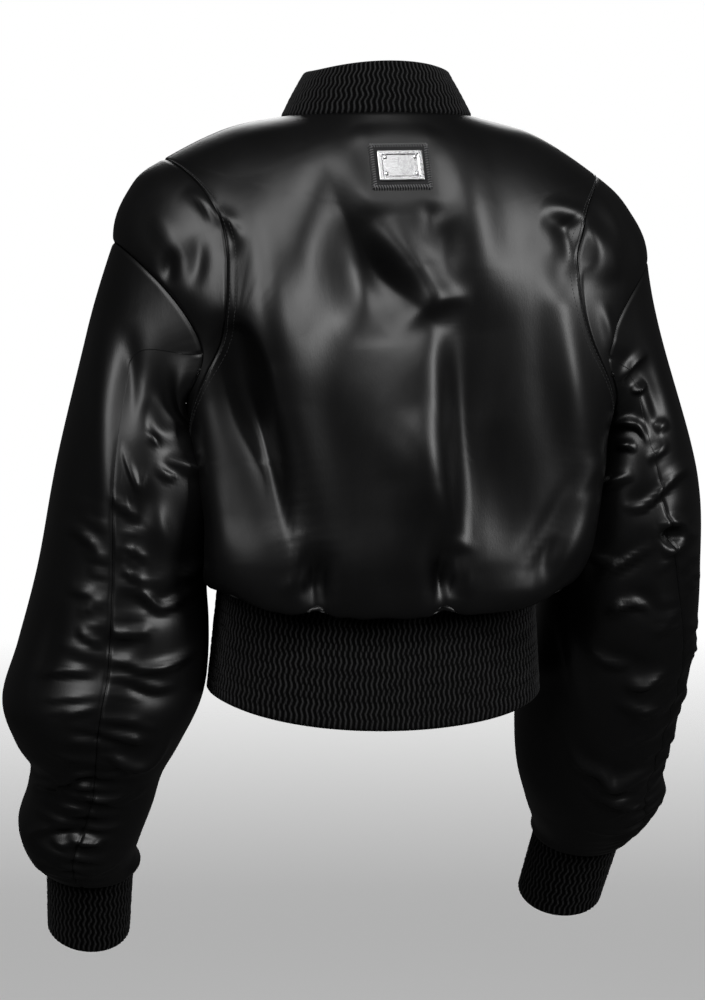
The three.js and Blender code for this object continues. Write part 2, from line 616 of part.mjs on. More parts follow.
// Slider near the neck, its bail and the pull tab, in a group whose z runs up the cloth
// and whose -y points out of it
function addZipHardware() {
  const centre = frontLine(SLIDER.row);
  const up = frontLine(SLIDER.row - 0.05).sub(frontLine(SLIDER.row + 0.05)).normalize();
  const group = new THREE.Group();
  group.position.copy(centre);
  group.rotation.x = Math.atan2(-up.y, up.z);
  jacket.add(group);

  const flatPiece = (name, shape, thick, rise) => {
    const geometry = new THREE.ExtrudeGeometry(shape, { depth: thick, bevelEnabled: false, curveSegments: 4 });
    geometry.rotateX(HALF_TURN / 2);
    geometry.translate(0, -rise, 0);
    const mesh = new THREE.Mesh(geometry, FINISH.metal);
    mesh.name = name;
    group.add(mesh);
  };
  const base = ZIP.chainRise + SLIDER.clear;
  flatPiece('zip_slider', roundedShape(SLIDER.half, SLIDER.length / 2, 0, 1.6), SLIDER.thick, base);

  const foot = base + SLIDER.thick + SLIDER.clear;
  const reach = BAIL.length / 2;
  const side = new THREE.Shape([
    [-reach, 0], [-reach, BAIL.top - 1], [1 - reach, BAIL.top], [reach - 1, BAIL.top], [reach, BAIL.top - 1],
    [reach, 0], [reach - BAIL.leg, 0], [reach - BAIL.leg, BAIL.under], [BAIL.leg - reach, BAIL.under],
    [BAIL.leg - reach, 0],
  ].map(([x, y]) => new THREE.Vector2(x, y)));
  const bail = new THREE.ExtrudeGeometry(side, { depth: 2 * BAIL.half, bevelEnabled: false });
  bail.translate(0, 0, -BAIL.half);
  bail.rotateY(-HALF_TURN / 2);
  bail.rotateZ(HALF_TURN);
  bail.translate(0, -foot, 0);
  const bailMesh = new THREE.Mesh(bail, FINISH.metal);
  bailMesh.name = 'zip_bail';
  group.add(bailMesh);

  const tab = roundedShape(PULL.half, PULL.length / 2, PULL.thick / 2 - PULL.length / 2, 1.2);
  const window = new THREE.Path([
    [-PULL.windowHalf, -PULL.thick / 2], [PULL.windowHalf, -PULL.thick / 2],
    [PULL.windowHalf, -PULL.thick / 2 - PULL.windowLength], [-PULL.windowHalf, -PULL.thick / 2 - PULL.windowLength],
  ].map(([x, y]) => new THREE.Vector2(x, y)));
  tab.holes.push(window);
  flatPiece('zip_pull_tab', tab, PULL.thick, foot + PULL.axis - PULL.thick / 2);
}

// Rectangle with rounded corners, about (0, middle)
function roundedShape(half, reach, middle, corner) {
  const shape = new THREE.Shape();
  const corners = [[1, 1], [-1, 1], [-1, -1], [1, -1]];
  corners.forEach(([x, y], i) => {
    shape.absarc(x * (half - corner), middle + y * (reach - corner), corner,
      (i * HALF_TURN) / 2, ((i + 1) * HALF_TURN) / 2, false);
  });
  return shape;
}
addZipHardware();

// Slab of rounded rectangles at rising levels, closed below and above by fans
function slab(levels) {
  const rings = levels.map(({ width, height, corner, z }) => {
    const shape = roundedShape(width / 2, height / 2, 0, corner);
    return shape.getPoints(3).slice(0, -1).map((p) => new THREE.Vector3(p.x, p.y, z));
  });
  const count = rings[0].length;
  const ends = [levels[0].z, levels.at(-1).z].map((z) => new THREE.Vector3(0, 0, z));
  const positions = [...rings.flat(), ...ends].flatMap((p) => [p.x, p.y, p.z]);
  const index = [];
  const low = rings.length * count;
  for (let j = 0; j < count; j += 1) {
    const next = (j + 1) % count;
    index.push(low, next, j);
    index.push(low + 1, low - count + j, low - count + next);
    for (let i = 0; i < rings.length - 1; i += 1) {
      const a = i * count;
      index.push(a + j, a + next, a + count + next, a + j, a + count + next, a + count + j);
    }
  }
  return closedGeometry(positions, index);
}

// Patch, plate and rivets lie flat on the cloth, each a gap above what carries it
function addPlate() {
  const place = (name, geometry, finish, across, up, out) => {
    const basis = new THREE.Matrix4().makeBasis(FLAT.across, FLAT.up, FLAT.out);
    const origin = FLAT.centre.clone()
      .addScaledVector(FLAT.across, across)
      .addScaledVector(FLAT.up, up)
      .addScaledVector(FLAT.out, out);
    add(name, geometry.applyMatrix4(basis).translate(origin.x, origin.y, origin.z), finish);
  };
  const level = (size, shrink, z) => ({
    width: size.width - 2 * shrink,
    height: size.height - 2 * shrink,
    corner: Math.max(size.corner - shrink / 2, 0.5),
    z,
  });
  const gap = SLIDER.clear;
  place('leather_patch', slab([
    level(PATCH, 0, 0),
    level(PATCH, 0, PATCH.thick - 0.6),
    level(PATCH, 0.7, PATCH.thick),
  ]), 'leather', 0, 0, gap);
  const plateBase = gap + PATCH.thick + gap;
  place('metal_plate', slab([
    level(PLATE, 0, 0),
    level(PLATE, 0, PLATE.thick - 0.5),
    level(PLATE, 0.5, PLATE.thick),
    level(PLATE, PLATE.border - 0.5, PLATE.thick),
    level(PLATE, PLATE.border, PLATE.thick - PLATE.recess),
  ]), 'metal', 0, 0, plateBase);
  const rivetBase = plateBase + PLATE.thick - PLATE.recess + gap;
  const dome = [[0, 0], [1, 0], [1, 0.3], [0.72, 0.8], [0, 1]]
    .map(([x, y]) => new THREE.Vector2(x * RIVET.radius, y * RIVET.height));
  [[-1, 1], [1, 1], [-1, -1], [1, -1]].forEach(([across, up], i) => {
    const rivet = new THREE.LatheGeometry(dome, 8).rotateX(HALF_TURN / 2);
    place(`rivet_${i + 1}`, rivet, 'metal', across * RIVET.across, up * RIVET.up, rivetBase);
  });
}
addPlate();

export default jacket;
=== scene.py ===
# %% [markdown]
# # Black satin bomber jacket, worn form
# A cropped bomber of black satin, in the shape it has when worn. It is cloth sewn from flat
# pieces: a back, two fronts, two shoulder caps, four sleeve halves, and ribbed knit at the neck,
# hem and wrists. Each piece is made here as its own closed shell of numpy points.
#
# Lengths are millimetres until a mesh is made. The jacket faces -Y, its left is +X,
# and the origin is the centre of the neck at the height of the back collar seam.
#
# The imported solids come first, as a fixed frame. The pieces below stand for them and ride on
# their bodies.

# %% Frame
import math

import bmesh
import bpy
import numpy as np
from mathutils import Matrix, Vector


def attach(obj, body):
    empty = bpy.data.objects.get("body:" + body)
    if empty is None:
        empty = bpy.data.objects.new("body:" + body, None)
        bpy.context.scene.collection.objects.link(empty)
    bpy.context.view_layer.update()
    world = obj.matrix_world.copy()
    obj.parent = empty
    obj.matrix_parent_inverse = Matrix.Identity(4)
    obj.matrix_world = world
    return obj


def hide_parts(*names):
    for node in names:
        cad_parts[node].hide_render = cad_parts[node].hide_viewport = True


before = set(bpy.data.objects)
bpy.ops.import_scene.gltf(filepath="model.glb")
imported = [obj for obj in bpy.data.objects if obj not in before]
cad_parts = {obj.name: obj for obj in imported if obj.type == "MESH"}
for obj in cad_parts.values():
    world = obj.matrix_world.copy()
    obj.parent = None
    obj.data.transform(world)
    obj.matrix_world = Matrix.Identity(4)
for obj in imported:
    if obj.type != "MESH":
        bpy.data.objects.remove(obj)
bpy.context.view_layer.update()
print("frame nodes", len(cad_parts))

# %% [markdown]
# ## Sizes
# A body is not a box, so the jacket's trunk is a stack of cross sections: how wide and deep it is
# at the back, the sides and the front, and how high its rim runs at each. A table row is one
# section, and smooth curves join the rows. The same tables shape the solid model, so that every
# cloth piece lies on its solid. Folds are placed by where they are seen from behind, in pixels
# of the view.

# %% Driving dimensions
MM = 0.001
DEGREE = math.pi / 180
SATIN_WALL = 1.6
KNIT_WALL = 2.6
RIB_PITCH = 4.3
RIB_HEIGHT = 1.7
RIB_WAVE = {"period": 11.8, "swing": 1.0, "straight": 11}
SEAM_HALF_GAP = 0.12
SEAM_HALF_TURN = SEAM_HALF_GAP / 150
SEAM_DIP = {"depth": 1.0, "width": 1.7}

VIEW = {"turn": 12 * DEGREE, "rise": 4.5 * DEGREE, "distance": 3200, "across": 23.7, "up": -318}
PIXEL = 0.83
PIXEL_ORIGIN = np.array([381.0, 117.0])
SENSOR = 36
LENS = SENSOR * VIEW["distance"] / (1000 * PIXEL)


def table(columns, rows):
    """Rows of numbers as one array for each named column."""
    return {name: np.array(values, float) for name, values in zip(columns, zip(*rows))}


SECTION_COLUMNS = [
    "half", "backX", "backY", "back", "frontX", "frontY", "front",
    "zBack", "zSide", "zFront", "slope", "sway",
]
TORSO = table(SECTION_COLUMNS, [
    [77, 56, 47, 66, 56, 50, 70, 2, -1, -48, 0, 4],
    [127, 92, 64, 88, 90, 62, 88, -35, -13, -85, 2, 2],
    [178, 128, 76, 103, 122, 74, 100, -75, -41, -120, 6, 1],
    [207, 148, 84, 110, 140, 80, 107, -115, -66, -150, 9, 1],
    [223, 160, 90, 114, 148, 84, 112, -155, -111, -180, 7, 1],
    [201, 155, 94, 118, 140, 86, 116, -205, -187, -215, 4, -2],
    [158, 152, 96, 122, 122, 88, 118, -265, -262, -262, 0, -3],
    [138, 153, 96, 126, 116, 88, 118, -320, -316, -305, 0, -1],
    [136, 154, 98, 131, 116, 90, 116, -365, -350, -338, 0, 3],
    [140, 144, 94, 124, 114, 88, 111, -403, -376, -364, 0, 6],
    [127, 106, 76, 101, 98, 76, 106, -392, -366, -372, 0, 7],
])
BAND_SEAM_ROW = 10
ARMHOLE = {"top": 4, "bottom": 6.0, "back": 40, "front": 36, "square": 1, "taper": 2}
CAP_SEAM = {"top": 2.05, "bottom": 6.25, "back": 50, "front": 47, "square": 0.8, "taper": 1.4}
SHOULDER_SEAM_BACK = 2

SLEEVE_COLUMNS = ["x", "y", "z", "outX", "outZ", "deep", "lean", "seam"]
SLEEVE_LEFT = table(SLEEVE_COLUMNS, [
    [203, 2, -226, 41, 52, 70, 0, 62],
    [210, 4, -300, 60, 20, 80, 0, 66],
    [217, 2, -372, 69, 6, 80, 2, 73],
    [225, 2, -432, 78, 1, 80, 8, 78],
    [234, 0, -474, 82, -3, 80, 12, 80],
    [237, -8, -508, 69, -2, 72, 16, 80],
    [237, -15, -532, 55, 0, 64, 18, 78],
    [241, -23, -558, 52, 1, 60, 21, 76],
    [249, -30, -585, 51, 1, 56, 24, 76],
    [248, -37, -605, 46, -1, 50, 25, 76],
    [240, -42.6, -616.6, 42.5, -1, 44, 25, 76],
    [239, -40, -611, 37, 0, 39, 25, 76],
])
SLEEVE_RIGHT = table(SLEEVE_COLUMNS, [
    [-203, 2, -235, -34, 50, 68, 0, 90],
    [-211, -2, -308, -58, 14, 80, 4, 80],
    [-211, -16, -376, -66, 4, 82, 14, 62],
    [-210, -37, -434, -70, 0, 80, 24, 48],
    [-205, -62, -493, -71, 2, 76, 30, 50],
    [-204, -85, -548, -65, 2, 68, 32, 54],
    [-212, -102, -582, -61, 4, 60, 30, 56],
    [-210, -114, -606, -49, 3, 50, 28, 58],
    [-205.5, -120.7, -618.6, -43, 1, 44, 26, 58],
    [-205, -118, -613, -38.5, 0, 40, 26, 58],
])
CUFF_COLUMNS = ["x", "y", "z", "half", "deep"]
CUFF_LEFT = {
    "lean": 25,
    "rings": table(CUFF_COLUMNS, [[239, -40.3, -611.7, 35, 37], [236, -74, -682, 33, 35]]),
}
CUFF_RIGHT = {
    "lean": 26,
    "rings": table(CUFF_COLUMNS, [[-205, -118.3, -613.7, 36.5, 38], [-194, -150, -681, 35, 36]]),
}
COLLAR_SECTIONS = table(SECTION_COLUMNS, [
    [77, 56, 47, 66, 56, 50, 70, 2.9, -0.1, -47.1, 0, 4],
    [68, 49, 45, 64, 51, 50, 71, 24, 17, -28, 0, 4],
    [57, 41, 41, 59, 45, 46, 68, 43, 36, -10, 0, 4],
])
BAND_SECTIONS = table(SECTION_COLUMNS, [
    [127, 106, 76, 101, 98, 76, 106, -394, -368, -374, 0, 7],
    [137, 108, 78, 104, 100, 76, 106, -497, -474, -455, 0, 9],
])
ZIP = {
    "halfGap": 7, "tapeCut": 16, "tapeHalf": 6.5, "parting": 0.35, "wall": 1.2, "sunk": 0.6,
    "cord": 2.3, "cordRise": 1.3, "pitch": 2.0, "toothCentre": 1.15, "toothRise": 0.55,
}
PLATE_SEEN = {"across": -16, "up": -41, "tilt": 1 * DEGREE}
PATCH = {"width": 47.5, "height": 38.5, "sunk": 1.2, "flatten": 22}
THREAD_STITCH = {"length": 2.6, "gap": 0.9, "radius": 0.22, "sink": 0.35}
CAP_STITCH_ROWS = (2.2, 6.2)
FRONT_STITCH_ROW = 6
print("torso sections", len(TORSO["half"]), "sleeve rings", len(SLEEVE_LEFT["x"]), len(SLEEVE_RIGHT["x"]))

# %% [markdown]
# ## Folds
# Satin shows its folds more than anything else, because light slides along them. The back
# blouses over the tight hem, the cloth drags in long lobes from the shoulders, and the sleeves
# crumple where they are pushed up. A cloth simulation would give folds, but other ones than
# this jacket's, so each fold is drawn as a line.
#
# Each fold is its height out of the cloth, half its breadth, how much steeper its far
# side is, and the points of its line. A line's far side is below one that runs to the
# right, and left of one that runs down; a minus puts the steep side on the other. The big
# folds are in millimetres and are also in the solids, the creases are in pixels of the view.

# %% Folds of the back
BIG_BACK_FOLDS = [
    [4, 22, 1, [(146, -95), (148, -200), (152, -280), (142, -370)]],
    [5, 22, 1, [(-182, -80), (-182, -200), (-184, -290), (-164, -380)]],
    [-12, 16, 1, [(124, -160), (118, -230), (92, -280), (60, -385)]],
    [7, 20, 1, [(112, -50), (100, -120), (90, -205)]],
    [-8, 24, 1, [(28, -80), (10, -140), (6, -190)]],
    [-13, 17, 1, [(-58, -150), (-66, -240), (-66, -330), (-54, -400)]],
    [8, 16, 1, [(6, -85), (-30, -130), (-48, -175)]],
    [7, 24, 1, [(-25, -240), (-40, -300), (-56, -360)]],
    [-6, 12, 1, [(-150, -85), (-160, -105), (-166, -130)]],
    [8, 14, 1, [(-160, -85), (-180, -110), (-188, -140)]],
    [-8, 12, 1, [(-108, -400), (-140, -350), (-174, -290)]],
    [-6, 9, 1, [(52, -360), (53, -410)]],
    [-6, 9, 1, [(-53, -350), (-53, -408)]],
]
BACK_CREASES = [
    [17, 44, 3.4, [(200, 338), (226, 316), (252, 320), (274, 368), (282, 430), (298, 520), (322, 616)]],
    [-5, 20, 1, [(228, 338), (240, 372), (256, 420), (270, 470)]],
    [11, 38, 1, [(326, 110), (312, 200), (297, 285), (282, 400)]],
    [-12, 54, -2.6, [(316, 150), (338, 208), (364, 258), (405, 304), (440, 340)]],
    [4, 16, 1.6, [(392, 336), (424, 308), (448, 298), (472, 300)]],
    [17, 58, -1.6, [(418, 262), (426, 340), (430, 420), (436, 490), (448, 532), (470, 576)]],
    [-7, 40, 1, [(490, 270), (490, 370), (494, 480), (502, 590)]],
    [-2, 9, 1, [(420, 200), (432, 214), (430, 240)]],
    [-2, 12, 1, [(442, 222), (450, 244), (450, 276)]],
    [6, 34, 1, [(316, 330), (356, 396), (392, 450), (420, 520)]],
    [3, 7, 1, [(432, 482), (450, 522), (466, 552)]],
    [7, 28, 1, [(458, 110), (468, 190), (478, 260), (486, 330)]],
    [6, 34, 1, [(508, 240), (516, 330), (514, 430), (504, 530)]],
    [9, 20, 1, [(556, 260), (564, 345), (572, 410), (584, 490)]],
    [-4, 10, 1, [(540, 219), (566, 224), (588, 232)]],
    [3, 9, 1, [(540, 206), (566, 211), (588, 219)]],
    [3, 12, 1, [(568, 208), (592, 238), (610, 282)]],
    [-3, 16, 1, [(560, 246), (562, 275), (560, 308)]],
    [7, 24, 2.2, [(606, 440), (576, 500), (540, 556), (500, 612)]],
    [-4, 14, 1, [(580, 500), (552, 548), (526, 592)]],
    [2, 8, 1.5, [(444, 556), (456, 546), (474, 552)]],
    [4, 9, 1.5, [(444, 548), (456, 572), (462, 598)]],
    [-4, 7, 1, [(436, 556), (444, 578), (450, 602)]],
    [-4, 9, 1, [(560, 536), (550, 566), (542, 598)]],
    [5, 16, 1, [(206, 400), (210, 480), (226, 560)]],
    [-5, 22, 1, [(246, 380), (262, 460), (282, 540)]],
    [-3, 8, 1, [(296, 600), (311, 583), (324, 556)]],
    [2, 8, 1, [(280, 594), (298, 584), (310, 570)]],
    [3, 8, 1.5, [(216, 210), (232, 224), (236, 244)]],
    [-2, 8, 1, [(226, 222), (232, 240), (230, 262)]],
    [-3, 26, 1, [(496, 420), (500, 490), (494, 560)]],
    [3, 26, 1, [(396, 480), (404, 540), (408, 590)]],
    [-8, 12, 1, [(318, 540), (318, 600), (318, 660)]],
    [-8, 12, 1, [(447, 530), (446, 600), (446, 660)]],
    [-9, 26, 1, [(190, 590), (224, 616), (262, 650)]],
    [-9, 26, 1, [(610, 570), (572, 606), (536, 650)]],
]
FRONT_FOLDS = [
    [-7, 16, 1, [(70, -385), (84, -330), (110, -270)]],
    [-6, 14, 1, [(30, -390), (36, -330), (52, -280)]],
    [7, 22, 1, [(120, -380), (128, -300), (136, -220)]],
    [-6, 14, 1, [(150, -120), (126, -160), (112, -200)]],
    [4, 12, 1, [(56, -392), (60, -350), (66, -310)]],
    [4, 14, 1, [(150, -150), (140, -210), (134, -260)]],
    [-3, 12, 1, [(96, -392), (108, -350), (122, -310)]],
    [3, 14, 1, [(40, -110), (60, -160), (70, -220)]],
]
CAP_CREASES = [
    [-4, 8, 1, [(176, 250), (168, 268), (172, 286)]],
    [4, 9, 1.4, [(184, 190), (205, 205), (218, 228)]],
    [3, 12, 1, [(150, 200), (168, 232), (186, 262)]],
    [-3, 9, 1, [(196, 232), (198, 262), (194, 292)]],
    [3, 8, 1, [(600, 190), (612, 222), (622, 256)]],
    [-3, 8, 1, [(590, 214), (600, 250), (606, 284)]],
    [3, 6, 1, [(600, 300), (606, 330), (608, 356)]],
]

# %% Folds of the sleeves
BIG_LEFT_FOLDS = [
    [-6, 12, 1, [(226, -315), (204, -336), (196, -300)]],
    [-7, 12, 1, [(219, -393), (190, -408), (158, -395), (142, -378)]],
    [-6, 10, 1, [(262, -430), (220, -440), (192, -430)]],
    [-7, 12, 1, [(290, -464), (228, -462), (186, -478), (163, -466)]],
    [-6, 10, 1, [(260, -507), (228, -514), (199, -518)]],
    [-7, 10, 1, [(293, -555), (252, -548), (228, -540)]],
    [-6, 9, 1, [(290, -596), (254, -592), (225, -597)]],
]
BIG_RIGHT_FOLDS = [
    [-6, 12, 1, [(-198, -222), (-219, -196)]],
    [-6, 12, 1, [(-188, -258), (-214, -258), (-238, -262)]],
    [-7, 11, 1, [(-202, -324), (-224, -320), (-258, -294)]],
    [-6, 10, 1, [(-176, -368), (-202, -370), (-232, -352)]],
    [-7, 11, 1, [(-198, -400), (-216, -403), (-232, -398)]],
    [-6, 10, 1, [(-170, -445), (-208, -456), (-240, -458)]],
    [-7, 10, 1, [(-150, -512), (-180, -545), (-232, -538)]],
    [-6, 9, 1, [(-164, -552), (-190, -570), (-220, -562)]],
]
LEFT_CREASES = [
    [3, 6, 2, [(110, 494), (122, 508), (138, 524)]],
    [3, 5, 2, [(122, 444), (129, 468), (139, 490), (146, 470)]],
    [3, 5, 2, [(154, 466), (166, 477), (176, 474)]],
    [5, 8, 2, [(164, 458), (180, 469), (199, 486)]],
    [3, 5, 2, [(145, 434), (153, 440), (161, 446)]],
    [3, 6, 2, [(60, 522), (84, 537), (107, 560)]],
    [3, 5, 2, [(126, 543), (137, 554), (149, 560)]],
    [4, 5, 2, [(119, 568), (133, 577), (149, 585)]],
    [5, 6, 2, [(115, 588), (138, 593), (163, 609), (191, 594), (212, 570)]],
    [5, 7, 2, [(178, 568), (190, 573), (203, 558)]],
    [3, 5, 2, [(66, 587), (80, 593), (96, 596)]],
    [4, 5, 2, [(75, 632), (90, 640), (105, 645)]],
    [4, 5, 2, [(109, 633), (130, 637), (153, 632)]],
    [5, 6, 2, [(109, 658), (140, 670), (172, 665), (201, 646)]],
    [4, 6, 2, [(29, 676), (64, 672), (98, 675)]],
    [4, 6, 2, [(94, 674), (129, 682), (156, 690), (181, 685)]],
    [4, 6, 2, [(65, 727), (100, 734), (132, 742), (143, 740)]],
    [5, 7, 2, [(108, 751), (120, 765), (143, 767), (160, 752), (172, 731)]],
    [5, 7, 2, [(25, 783), (51, 786), (78, 778), (109, 769)]],
    [4, 6, 2, [(74, 790), (94, 798), (116, 797), (138, 787)]],
    [4, 6, 2, [(26, 838), (49, 829), (76, 829)]],
    [4, 6, 2, [(65, 836), (85, 843), (114, 837)]],
    [4, 14, 1, [(100, 300), (103, 400), (108, 500), (110, 570)]],
    [-4, 12, 1, [(124, 320), (130, 380), (128, 440)]],
    [-3, 10, 1, [(150, 400), (160, 430), (186, 440)]],
    [3, 12, 1, [(150, 500), (160, 530), (178, 560)]],
    [-3, 10, 1, [(60, 600), (46, 650), (30, 700)]],
    [12, 16, 1, [(200, 370), (194, 440), (196, 500), (208, 570)]],
    [10, 14, 1, [(186, 352), (188, 403), (194, 454)]],
]
RIGHT_CREASES = [
    [4, 6, 2, [(617, 383), (632, 366), (647, 352)]],
    [4, 5, 2, [(630, 392), (640, 390), (649, 383)]],
    [3, 5, 2, [(657, 431), (663, 426), (670, 421)]],
    [3, 5, 2, [(647, 462), (658, 453), (669, 441)]],
    [5, 6, 2, [(606, 430), (622, 424), (638, 427), (647, 442)]],
    [4, 5, 2, [(615, 448), (626, 446), (636, 449)]],
    [4, 6, 2, [(599, 491), (615, 482), (634, 475)]],
    [4, 6, 2, [(622, 506), (638, 509), (653, 501), (680, 473), (695, 468)]],
    [-6, 7, 1, [(664, 545), (672, 536), (684, 533)]],
    [4, 5, 2, [(659, 530), (672, 523), (688, 526)]],
    [4, 5, 2, [(661, 553), (674, 550), (688, 536)]],
    [4, 6, 2, [(594, 579), (623, 565), (661, 542)]],
    [3, 5, 2, [(588, 558), (603, 562), (619, 563)]],
    [5, 6, 2, [(607, 618), (630, 605), (653, 611)]],
    [4, 6, 2, [(585, 651), (612, 665), (634, 667)]],
    [4, 6, 2, [(623, 684), (643, 687), (672, 670)]],
    [5, 8, 2, [(559, 730), (578, 765), (600, 777), (616, 790), (663, 764)]],
    [5, 7, 2, [(576, 780), (607, 803), (632, 806), (647, 795)]],
    [3, 6, 2, [(612, 700), (640, 712), (664, 706)]],
    [3, 8, 1, [(560, 610), (572, 660), (580, 720)]],
    [-3, 9, 1, [(640, 360), (656, 400), (668, 440)]],
    [3, 8, 1, [(590, 500), (586, 540), (576, 600)]],
]
# Waves along the ruched seam of the solid, and the finer wrinkles across it
GATHERS = {"count": 17, "height": 1.2, "reach": 24, "start": 0.36}
ARM_FOLD_SHARE = 0.7
SEAM_WRINKLES = {"count": 66, "depth": (0.9, 2.0), "width": (2.6, 4.6), "length": (20, 62)}
HEM_GATHERS = {"pitch": 13, "height": 1.6, "reach": 1.3}
print("folds and creases", len(BIG_BACK_FOLDS) + len(BACK_CREASES), "on the back,",
      len(LEFT_CREASES), "and", len(RIGHT_CREASES), "on the arms")

# %% [markdown]
# ## Surfaces
# A piece of the trunk could be modelled by pulling a box into shape, but then every seam would
# have to be fitted again by hand. Here the trunk is one function of a turn round the body and a
# row down the table. A seam is a line on it, and a piece is the part between its seams.

# %% Sections
def catmull(a, b, c, d, t):
    """The smooth curve from b to c with the slopes of a to c and b to d at its ends."""
    slope = (c - a) / 2
    following = (d - b) / 2
    rise = c - b
    return b + t * (slope + t * (3 * rise - 2 * slope - following + t * (slope + following - 2 * rise)))


def sample(rows, place):
    """Rows of a table at any places between its rows, on smooth curves down the columns."""
    place = np.asarray(place, float)
    last = len(next(iter(rows.values()))) - 1
    i = np.clip(np.floor(place).astype(int), 0, last - 1)
    result = {}
    for name, v in rows.items():
        ends = np.concatenate(([2 * v[0] - v[1]], v, [2 * v[-1] - v[-2]]))
        result[name] = catmull(ends[i], ends[i + 1], ends[i + 2], ends[i + 3], place - i)
    return result


def section_point(row, turn):
    """A body section: turn 0 is the centre back, a quarter turn the left side.

    Across is a sum of sines of 1, 2 and 3 times the turn, depth a sum of cosines of 0 to 3 times it,
    weighed so that the curve meets the row's widths and depths at back, sides and front. The
    height goes from the side's to the end's with the squared cosine.
    """
    wide = (row["backX"] + row["frontX"]) / math.sqrt(2)
    across = (
        (wide + row["half"]) / 2 * np.sin(turn)
        + (wide - row["half"]) / 2 * np.sin(3 * turn)
        + (row["backX"] - row["frontX"]) / 2 * np.sin(2 * turn)
    )
    middle = (row["backY"] - row["frontY"]) / 2
    diagonal = (row["backY"] + row["frontY"]) / math.sqrt(2)
    depth = (row["back"] + row["front"]) / 2
    along = (
        middle
        + (depth + diagonal) / 2 * np.cos(turn)
        + ((row["back"] - row["front"]) / 2 - middle) * np.cos(2 * turn)
        + (depth - diagonal) / 2 * np.cos(3 * turn)
    )
    end = np.where(np.cos(turn) > 0, row["zBack"], row["zFront"])
    z = row["zSide"] + (end - row["zSide"]) * np.cos(turn) ** 2 + row["slope"] * np.sin(turn)
    return np.stack(np.broadcast_arrays(row["sway"] + across, along, z), -1)


def view_axes():
    """The view's left, its direction towards the camera, and its up, from its turn and its rise."""
    turn = VIEW["turn"]
    rise = VIEW["rise"]
    left = np.array([math.cos(turn), -math.sin(turn), 0])
    toward = np.array([math.sin(turn) * math.cos(rise), math.cos(turn) * math.cos(rise), math.sin(rise)])
    return left, toward, np.cross(left, toward)


LEFT, TOWARD, UP = view_axes()
AIM = LEFT * VIEW["across"] + np.array([0, 0, VIEW["up"]])


def seen(p):
    """Where points are seen from behind, in millimetres to the left and up at the neck's distance.

    The offset across is stretched by the camera's distance over the distance that is left.
    """
    q = p - AIM
    scale = VIEW["distance"] / (VIEW["distance"] - q @ TOWARD)
    return np.stack((VIEW["across"] + q @ LEFT * scale, VIEW["up"] + q @ UP * scale), -1)


def in_pixels(place):
    """Seen millimetres as pixels, right and down from the corner of the view."""
    return PIXEL_ORIGIN - place / PIXEL


def unit(v):
    """Vectors divided by their lengths."""
    return v / np.linalg.norm(v, axis=-1, keepdims=True)


def normal_of(surface, u, v, step=0.002):
    """Normals of a surface of two parameters: the cross product of its small steps along both."""
    du = surface(u + step, v) - surface(u - step, v)
    dv = surface(u, v + step) - surface(u, v - step)
    return unit(np.cross(du, dv))


# %% [markdown]
# ## Height of the folds
# One fold is a bell over the distance from its line, high in the middle and gone at about twice its
# breadth. All folds of a piece are summed, and the cloth is moved that far along its normal. The line
# is cut into short straight pieces, because the nearest point of a straight piece is a simple formula.

# %% Fold heights
def smooth_line(points, step):
    """A smooth curve through the points, in 8 to 48 pieces about a step long."""
    points = np.array(points, float)
    length = np.linalg.norm(np.diff(points, axis=0), axis=1).sum()
    steps = int(np.clip(length / step, 8, 48))
    if len(points) == 2:
        return np.linspace(points[0], points[1], steps + 1)
    place = np.linspace(0, len(points) - 1, steps + 1)
    line = sample({"x": points[:, 0], "y": points[:, 1]}, place)
    return np.stack((line["x"], line["y"]), -1)


def fold_height(folds, place):
    """Height of the folds at each place.

    Each adds depth times a bell, e to the minus square of distance times sharpness over width, times
    a fade, the sine along the line to the power 1.2. Sharpness goes from 1 to the steep value within
    a fifth of the width on the steep side.
    """
    spots = place.reshape(-1, 2)
    total = np.zeros(len(spots))
    for depth, width, steep, points in folds:
        line = smooth_line(points, 0.1 * width)
        reach = 2.6 * width
        near = np.flatnonzero(np.all((spots > line.min(0) - reach) & (spots < line.max(0) + reach), axis=1))
        offset = spots[near, None] - line[:-1]
        span = np.diff(line, axis=0)
        share = np.clip((offset * span).sum(-1) / (span ** 2).sum(-1), 0, 1)
        gap = offset - share[..., None] * span
        far = (gap ** 2).sum(-1)
        nearest = far.min(1)
        weight = np.exp(-(far - nearest[:, None]) / (0.15 * width) ** 2)
        weight /= weight.sum(1, keepdims=True)
        along = (weight * (np.arange(len(span)) + share)).sum(1) / len(span)
        turned = (weight * (span[:, 0] * gap[..., 1] - span[:, 1] * gap[..., 0])).sum(1)
        side = turned / np.linalg.norm(span, axis=1).mean() * np.sign(steep)
        sharpness = 1 + (abs(steep) - 1) * smoothstep(side / width, 0, 0.2)
        fade = np.sin(math.pi * np.clip(along, 0, 1)).clip(0) ** 1.2
        total[near] += depth * fade * np.exp(-nearest * (sharpness / width) ** 2)
    return total.reshape(place.shape[:-1])


def smoothstep(value, low, high):
    """0 below low, 1 above high, and 3 t squared minus 2 t cubed between them."""
    t = np.clip((value - low) / (high - low), 0, 1)
    return t * t * (3 - 2 * t)


# %% [markdown]
# ## Trunk of the jacket
# The sections give a smooth body. Two things are laid over it: the stiff leather patch pulls the cloth
# under it flat, and the folds lift it. Both end at the seams, so that neighbouring pieces still meet.

# %% Torso
def torso_base(turn, row):
    """The smooth body at a turn and a row."""
    return section_point(sample(TORSO, row), turn)


